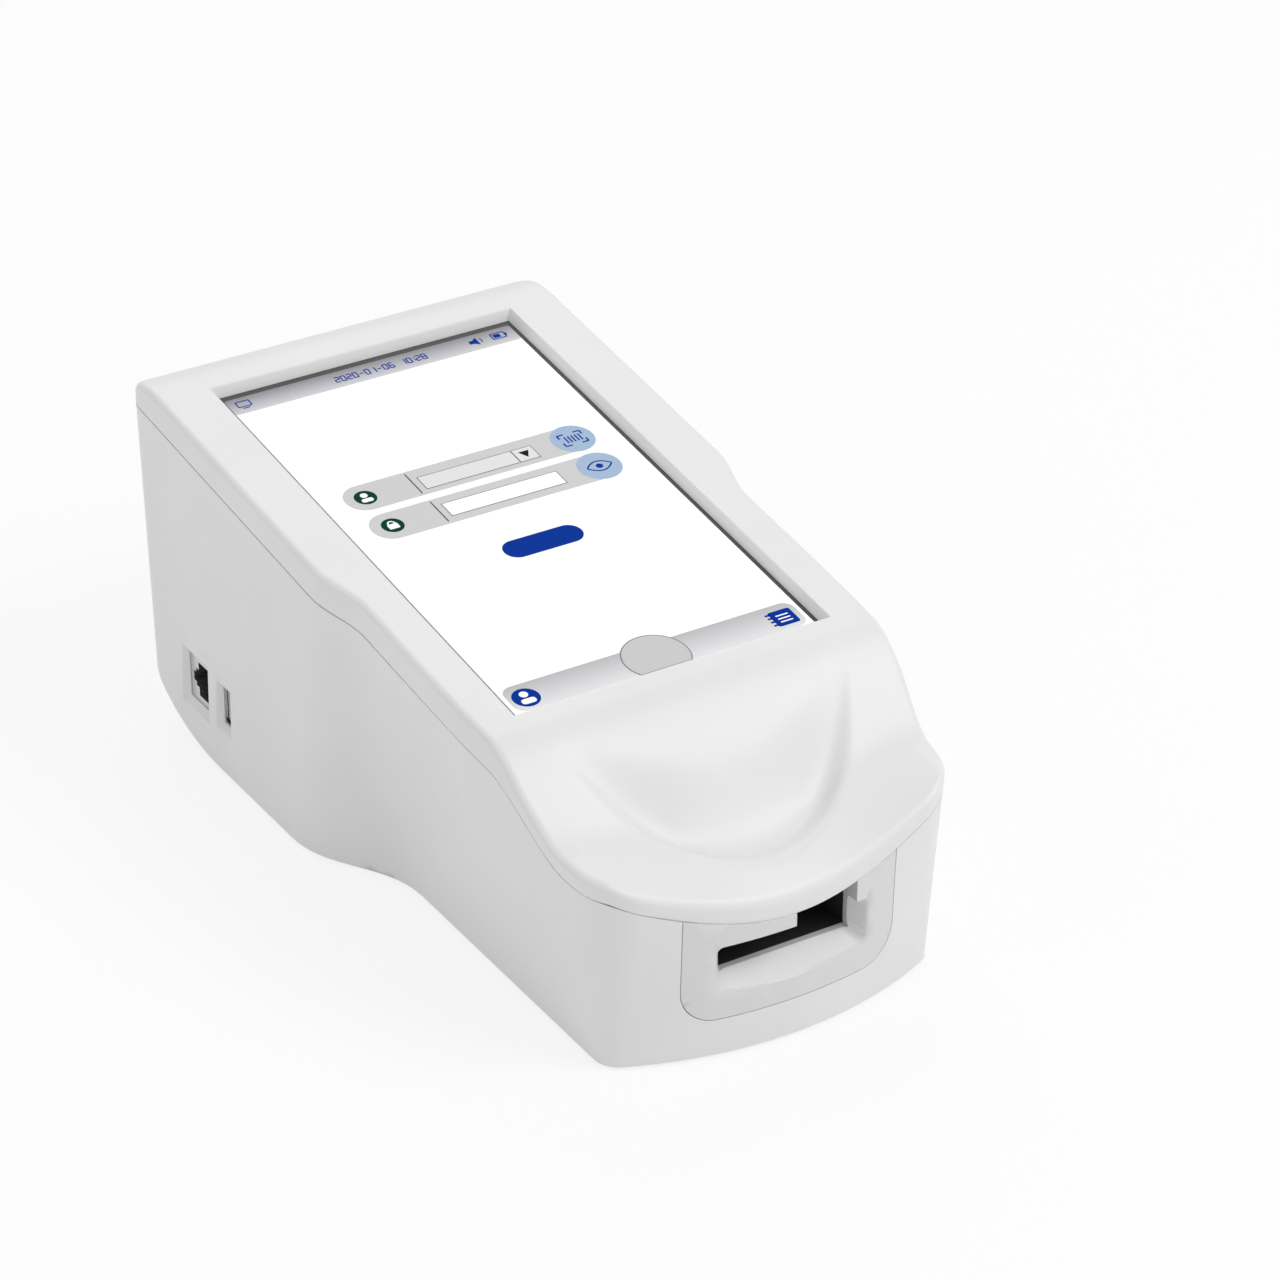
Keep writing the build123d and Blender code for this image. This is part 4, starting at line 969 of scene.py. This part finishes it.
@dataclass(frozen=True)
class ScreenPicture:
    """The picture under the glass, built of thin layers, without any words.

    Places on it are millimetres in the glass plane: u to the right from its middle line and
    v up from its lower edge.
    """

    housing: Housing
    finished: dict[str, bpy.types.Material]
    half_width: float = 49.8
    length: float = 176.7
    layer: float = 0.03
    base: float = 0.02
    filled: float = 0.9
    smooth_angle: float = 20.0
    dock_low: float = 1.6
    badge_radius: float = 10.4
    badge_foot: float = 8.6
    badge_inner: float = 0.965
    clock: str = "2020-01-06 10:28"

    def place(self) -> Matrix:
        """Matrix from the picture's plane to the object, in millimetres."""
        turn = Matrix.Rotation(math.atan(self.housing.slope), 4, "X")
        return Matrix.Translation((0, self.housing.screen_y, self.housing.screen_z)) @ turn

    def plates(self, name: str, outlines: list[np.ndarray], level: int,
               finish: str) -> bpy.types.Object:
        """Makes one layer of the picture.

        Args:
            name: object name.
            outlines: its flat outlines.
            level: how many layers up.
            finish: name of its lit finish.

        Returns:
            The object.
        """
        low = self.base + self.layer * level
        mesh = plate_mesh(name, outlines, low, low + self.layer * self.filled, self.place())
        return finish_mesh(name, mesh, self.finished[finish], self.smooth_angle)

    def stroke(self, points: list[tuple[float, float]], width: float) -> list[np.ndarray]:
        """Straight strokes between successive points: each end moved half a width sideways.

        Args:
            points: the line's points.
            width: of the strokes.

        Returns:
            One outline for each stroke.
        """
        out = []
        for (u0, v0), (u1, v1) in zip(points[:-1], points[1:]):
            size = math.hypot(u1 - u0, v1 - v0)
            du, dv = (v1 - v0) / size * width / 2, -(u1 - u0) / size * width / 2
            out.append(np.array([[u0 + du, v0 + dv], [u1 + du, v1 + dv],
                                 [u1 - du, v1 - dv], [u0 - du, v0 - dv]]))
        return out

    def digits(self, text: str, u: float, v: float, height: float,
               width: float) -> list[np.ndarray]:
        """Seven-stroke numerals, as on a clock.

        Args:
            text: digits, colons, dashes and blanks.
            u: left end.
            v: foot of the digits.
            height: of a digit.
            width: of a stroke.

        Returns:
            The strokes' outlines.
        """
        half, wide = height / 2, height * 0.52
        strokes = {
            "a": ((0, height), (wide, height)), "b": ((wide, height), (wide, half)),
            "c": ((wide, half), (wide, 0)), "d": ((0, 0), (wide, 0)), "e": ((0, 0), (0, half)),
            "f": ((0, half), (0, height)), "g": ((0, half), (wide, half)),
        }
        segments = {"0": "abcdef", "1": "bc", "2": "abged", "3": "abgcd", "4": "fgbc",
                    "5": "afgcd", "6": "afgedc", "7": "abc", "8": "abcdefg", "9": "abfgcd",
                    "-": "g", " ": ""}
        out = []
        for sign in text:
            if sign == ":":
                out += [disc(u + wide * 0.3, v + height * q, width * 0.7, 10) for q in (0.28, 0.72)]
                u += wide * 0.75
                continue
            for name in segments[sign]:
                (u0, v0), (u1, v1) = strokes[name]
                out += self.stroke([(u + u0, v + v0), (u + u1, v + v1)], width)
            u += wide * 1.55
        return out

    def badge(self) -> np.ndarray:
        """The round badge's place, bare: a circle cut off level with the dock's lower edge.

        Returns:
            Its outline.
        """
        dome = disc(0.0, 7.4, self.badge_radius, 96)
        dome = dome[dome[:, 1] > self.dock_low]
        order = np.argsort(np.arctan2(dome[:, 1] - self.dock_low, dome[:, 0]))
        foot = [[-self.badge_foot, self.dock_low], [self.badge_foot, self.dock_low]]
        return np.vstack([dome[order], foot])

    def build(self) -> list[bpy.types.Object]:
        """Makes every layer of the picture.

        Returns:
            The objects.
        """
        half, end = self.half_width, self.length
        badge, badge_middle = self.badge(), np.array([0.0, 7.0])
        layers = (
            ("screen_picture", [rounded(-half, half, 0, end, 0.6, 4)], 0, "lit_white"),
            ("screen_status_bar", [rounded(-half, half, 168.4, end, 0.6, 4)], 1, "lit_bar"),
            ("screen_dock", [rounded(-48.4, 48.6, self.dock_low, 13.6, 3.6)], 1, "lit_dock"),
            ("screen_fields_back", [rounded(-42.6, 42.0, 106.8, 119.8, 6.4),
                                    rounded(-42.6, 42.0, 90.6, 103.8, 6.4)], 1, "lit_grey"),
            ("screen_badge_edge", [badge], 2, "lit_edge"),
            ("screen_badge", [badge_middle + (badge - badge_middle) * self.badge_inner], 3,
             "lit_badge"),
            ("screen_fields_edge", [rounded(-17.4, 22.0, 109.0, 115.8, 0.3, 3),
                                    rounded(-17.6, 22.0, 93.6, 100.6, 0.1, 3)], 2, "lit_edge"),
            ("screen_fields", [rounded(-17.1, 21.7, 109.3, 115.5, 0.2, 3)], 3, "lit_field"),
            ("screen_entry", [rounded(-17.3, 21.7, 93.9, 100.3, 0.1, 3)], 3, "lit_white"),
            ("screen_round_keys", [disc(35.4, 113.3, 7.0), disc(35.2, 97.2, 7.0)], 2,
             "lit_pale_blue"),
            ("screen_login_key", [rounded(-13.2, 13.2, 66.4, 75.2, 4.4)], 1, "lit_blue"),
            ("screen_user_signs", [disc(-35.9, 113.2, 3.5), disc(-35.6, 97.2, 3.5)], 2,
             "lit_green"),
            ("screen_dock_signs", [disc(-43.0, 7.2, 4.2), *self.notebook(42.6, 7.3)], 2,
             "lit_blue"),
            ("screen_light_marks", self.light_marks(), 3, "lit_white"),
            ("screen_dark_marks", self.dark_marks(), 4, "lit_ink"),
            ("screen_blue_marks", self.blue_marks(), 3, "lit_blue"),
        )
        return [self.plates(*layer) for layer in layers]

    def notebook(self, u: float, v: float) -> list[np.ndarray]:
        """A ring-bound book seen flat: its cover and four binding tabs.

        Args:
            u: middle of the book.
            v: middle of the book.

        Returns:
            The outlines.
        """
        tabs = [rounded(u - 4.4, u - 2.6, v - 2.9 + 1.7 * i, v - 2.1 + 1.7 * i, 0.3, 3)
                for i in range(4)]
        return [rounded(u - 3.2, u + 4.2, v - 3.6, v + 3.6, 0.8, 5), *tabs]

    def light_marks(self) -> list[np.ndarray]:
        """White parts of the signs.

        Returns:
            Outlines of a bust, a padlock, a bust with a collar and the lines in the book.
        """
        out = [disc(-35.9, 114.3, 1.15, 20), rounded(-37.8, -34.0, 110.9, 112.7, 0.8, 5)]
        out.append(rounded(-37.3, -33.9, 95.4, 97.9, 0.4, 4))
        arch = np.radians(np.linspace(0, 180, 9))
        out += self.stroke([(-35.6 + 1.1 * math.cos(a), 97.9 + 1.3 * math.sin(a)) for a in arch],
                           0.5)
        out += [disc(-43.0, 8.7, 1.35, 20), rounded(-45.3, -40.7, 4.4, 6.7, 1.0, 5)]
        out += [rounded(41.0, 45.2, 5.3 + 1.5 * i, 5.8 + 1.5 * i, 0.2, 3) for i in range(3)]
        return out

    def dark_marks(self) -> list[np.ndarray]:
        """Dark parts.

        Returns:
            Outlines of the list arrow and the rules in the fields.
        """
        out = [np.array([[16.6, 113.9], [18.4, 110.6], [20.2, 113.9]])]
        out += [rounded(-19.8, -19.5, 107.8, 118.8, 0.1, 3),
                rounded(-20.0, -19.7, 91.6, 102.8, 0.1, 3)]
        return out + self.stroke([(14.9, 109.4), (14.9, 115.4)], 0.3)

    def blue_marks(self) -> list[np.ndarray]:
        """Blue parts.

        Returns:
            Outlines of the scan frame, the eye, the clock and the signs of the status bar.
        """
        out = []
        for su in (-1, 1):
            for sv in (-1, 1):
                u, v = 35.4 + su * 3.9, 113.3 + sv * 3.0
                out += self.stroke([(u - su * 2.2, v), (u, v), (u, v - sv * 1.8)], 0.55)
        out += [rounded(33.0 + 1.2 * i, 33.5 + 1.2 * i, 111.6, 115.0, 0.1, 3) for i in range(5)]
        bend = np.linspace(-1, 1, 13)
        for sign in (-1, 1):
            out += self.stroke([(35.2 + 4.2 * t, 97.2 + sign * 2.5 * (1 - t * t)) for t in bend],
                               0.5)
        out.append(disc(35.2, 97.2, 1.15, 20))
        out += self.digits(self.clock, -13.8, 171.2, 2.6, 0.4)
        out += self.stroke([(-47.2, 171.8), (-42.8, 171.8), (-42.8, 174.6), (-47.2, 174.6),
                            (-47.2, 171.8)], 0.4)
        out += self.stroke([(-46.2, 170.9), (-43.8, 170.9)], 0.4)
        out += [np.array([[33.6, 172.0], [35.0, 172.0], [36.6, 170.8], [36.6, 174.9],
                          [35.0, 173.7], [33.6, 173.7]])]
        out += self.stroke([(37.6, 171.8), (38.0, 172.9), (37.6, 174.0)], 0.35)
        out += self.stroke([(41.6, 171.4), (46.2, 171.4), (46.2, 174.4), (41.6, 174.4),
                            (41.6, 171.4)], 0.4)
        out += [rounded(42.2, 44.6, 172.0, 173.8, 0.1, 3),
                rounded(46.3, 46.9, 172.3, 173.5, 0.1, 3)]
        return out


@dataclass(frozen=True)
class Lamp:
    """A square area lamp that faces the object's middle: metres and watts."""

    name: str
    place: Place
    size: float
    power: float
    target: Place = (0.0, 0.0, 0.05)

    def hang(self) -> None:
        """Adds the lamp to the scene."""
        data = bpy.data.lights.new(self.name, "AREA")
        data.size = self.size
        data.energy = self.power
        lamp = bpy.data.objects.new(self.name, data)
        turn = (Vector(self.target) - Vector(self.place)).to_track_quat("-Z", "Y")
        lamp.matrix_world = Matrix.Translation(self.place) @ turn.to_matrix().to_4x4()
        bpy.context.scene.collection.objects.link(lamp)


@dataclass(frozen=True)
class Studio:
    """Pale floor, soft lamps, white surroundings and the camera."""

    camera_place: Place = (-0.62532, -1.06481, 0.77982)
    azimuth: float = 31.699
    elevation: float = 30.193
    roll: float = 0.116
    lens: float = 135.87
    sensor: float = 36.0
    lamps: tuple[Lamp, ...] = (
        Lamp("key_lamp", (0.9, -1.0, 1.5), 1.0, 16.0),
        Lamp("side_lamp", (-1.7, 0.2, 1.2), 1.2, 5.0),
        Lamp("back_lamp", (0.6, 1.6, 1.5), 1.4, 8.0),
    )
    floor_half: float = 6.0
    floor_colour: Colour = (0.92, 0.92, 0.92)
    floor_roughness: float = 0.9
    floor_white: float = 0.80
    world_strength: float = 0.56
    seen_kinds: tuple[str, ...] = ("Is Camera Ray", "Is Glossy Ray", "Is Transmission Ray")

    def camera(self) -> None:
        """Stands the camera where the view was taken from.

        Its forward direction comes from azimuth and elevation, and it is then rolled.
        """
        az, el = math.radians(self.azimuth), math.radians(self.elevation)
        forward = Vector((math.sin(az) * math.cos(el), math.cos(az) * math.cos(el), -math.sin(el)))
        right = Vector((math.cos(az), -math.sin(az), 0.0))
        up = right.cross(forward)
        turn = Matrix((right, up, -forward)).transposed().to_4x4()
        turn = turn @ Matrix.Rotation(math.radians(self.roll), 4, "Z")
        data = bpy.data.cameras.new("view")
        data.sensor_width = self.sensor
        data.lens = self.lens
        data.clip_start = 0.01
        eye = bpy.data.objects.new("view", data)
        eye.matrix_world = Matrix.Translation(self.camera_place) @ turn
        bpy.context.scene.collection.objects.link(eye)
        bpy.context.scene.camera = eye

    def shown_to_camera(self, tree: bpy.types.NodeTree, seen: Socket, kept: Socket) -> Socket:
        """Shows one shader to the camera and to mirrors, and another to all other light.

        Args:
            tree: node tree.
            seen: shader for the camera, gloss and glass.
            kept: shader for all other light.

        Returns:
            The mixed shader socket.
        """
        path = tree.nodes.new("ShaderNodeLightPath")
        total = path.outputs[self.seen_kinds[0]]
        for kind in self.seen_kinds[1:]:
            top = tree.nodes.new("ShaderNodeMath")
            top.operation = "MAXIMUM"
            tree.links.new(total, top.inputs[0])
            tree.links.new(path.outputs[kind], top.inputs[1])
            total = top.outputs[0]
        mix = tree.nodes.new("ShaderNodeMixShader")
        tree.links.new(total, mix.inputs["Fac"])
        tree.links.new(kept, mix.inputs[1])
        tree.links.new(seen, mix.inputs[2])
        return mix.outputs[0]

    def floor(self) -> None:
        """Lays a large pale floor: to the camera mostly white, with some of the object's shadow."""
        half = self.floor_half
        corners = [(-half, -half, 0), (half, -half, 0), (half, half, 0), (-half, half, 0)]
        mesh = bpy.data.meshes.new("floor")
        mesh.from_pydata(corners, [], [(0, 1, 2, 3)])
        material = bpy.data.materials.new("pale_floor")
        material.use_nodes = True
        tree = material.node_tree
        shader = tree.nodes["Principled BSDF"]
        shader.inputs["Base Color"].default_value = (*self.floor_colour, 1)
        shader.inputs["Roughness"].default_value = self.floor_roughness
        white = tree.nodes.new("ShaderNodeEmission")
        white.inputs["Strength"].default_value = 1.0
        whitened = tree.nodes.new("ShaderNodeMixShader")
        whitened.inputs["Fac"].default_value = self.floor_white
        tree.links.new(shader.outputs[0], whitened.inputs[1])
        tree.links.new(white.outputs[0], whitened.inputs[2])
        out = self.shown_to_camera(tree, whitened.outputs[0], shader.outputs[0])
        tree.links.new(out, tree.nodes["Material Output"].inputs["Surface"])
        mesh.materials.append(material)
        floor = bpy.data.objects.new("floor", mesh)
        bpy.context.scene.collection.objects.link(floor)

    def world(self) -> None:
        """Even pale light from all round, and a brighter backdrop where it is seen."""
        world = bpy.data.worlds.new("studio")
        bpy.context.scene.world = world
        world.use_nodes = True
        tree = world.node_tree
        back = tree.nodes["Background"]
        back.inputs["Color"].default_value = (1, 1, 1, 1)
        back.inputs["Strength"].default_value = self.world_strength
        backdrop = tree.nodes.new("ShaderNodeBackground")
        backdrop.inputs["Strength"].default_value = 1.0
        out = self.shown_to_camera(tree, backdrop.outputs[0], back.outputs[0])
        tree.links.new(out, tree.nodes["World Output"].inputs["Surface"])

    def build(self) -> None:
        """Sets up the whole studio."""
        self.camera()
        for lamp in self.lamps:
            lamp.hang()
        self.floor()
        self.world()
        bpy.context.scene.view_settings.view_transform = "Standard"


def dress_nodes(finished: dict[str, bpy.types.Material]) -> None:
    """Gives every CAD node the finish of its material slot.

    Args:
        finished: the materials by name.
    """
    for node, piece in NODES.items():
        for slot in piece.material_slots:
            slot.material = finished[SLOTS[node]]
        LOG.info("node %s: %s", node, SLOTS[node])


def add_piece(piece: bpy.types.Object, body: str, slot: str, *nodes: str) -> None:
    """Attaches a new piece to its body and hides the CAD nodes that it stands for.

    Args:
        piece: the piece.
        body: what it rides on.
        slot: not used.
        nodes: CAD nodes that it stands for.
    """
    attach(piece, body)
    if nodes:
        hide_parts(*nodes)
    LOG.info("piece %s on %s", piece.name, body)


def main() -> None:
    """Builds the dressed analyzer."""
    logging.basicConfig(level=logging.INFO, format="%(name)s: %(message)s")
    finished = {finish.name: finish.material() for finish in PIECE_FINISHES + SCREEN_FINISHES}
    dress_nodes(finished)
    housing = Housing()
    cover = CoverSkin(housing, finished["shell_white"]).build()
    add_piece(cover, "housing", "shell_white", "top_cover")
    for node in ("base_shell", "front_panel"):
        skin = SmoothCopy(node, finished[SLOTS[node]]).build()
        add_piece(skin, "housing", SLOTS[node], node)
    for piece in ScreenPicture(housing, finished).build():
        add_piece(piece, "housing", "display_white")
    Studio().build()


if __name__ == "__main__":
    main()
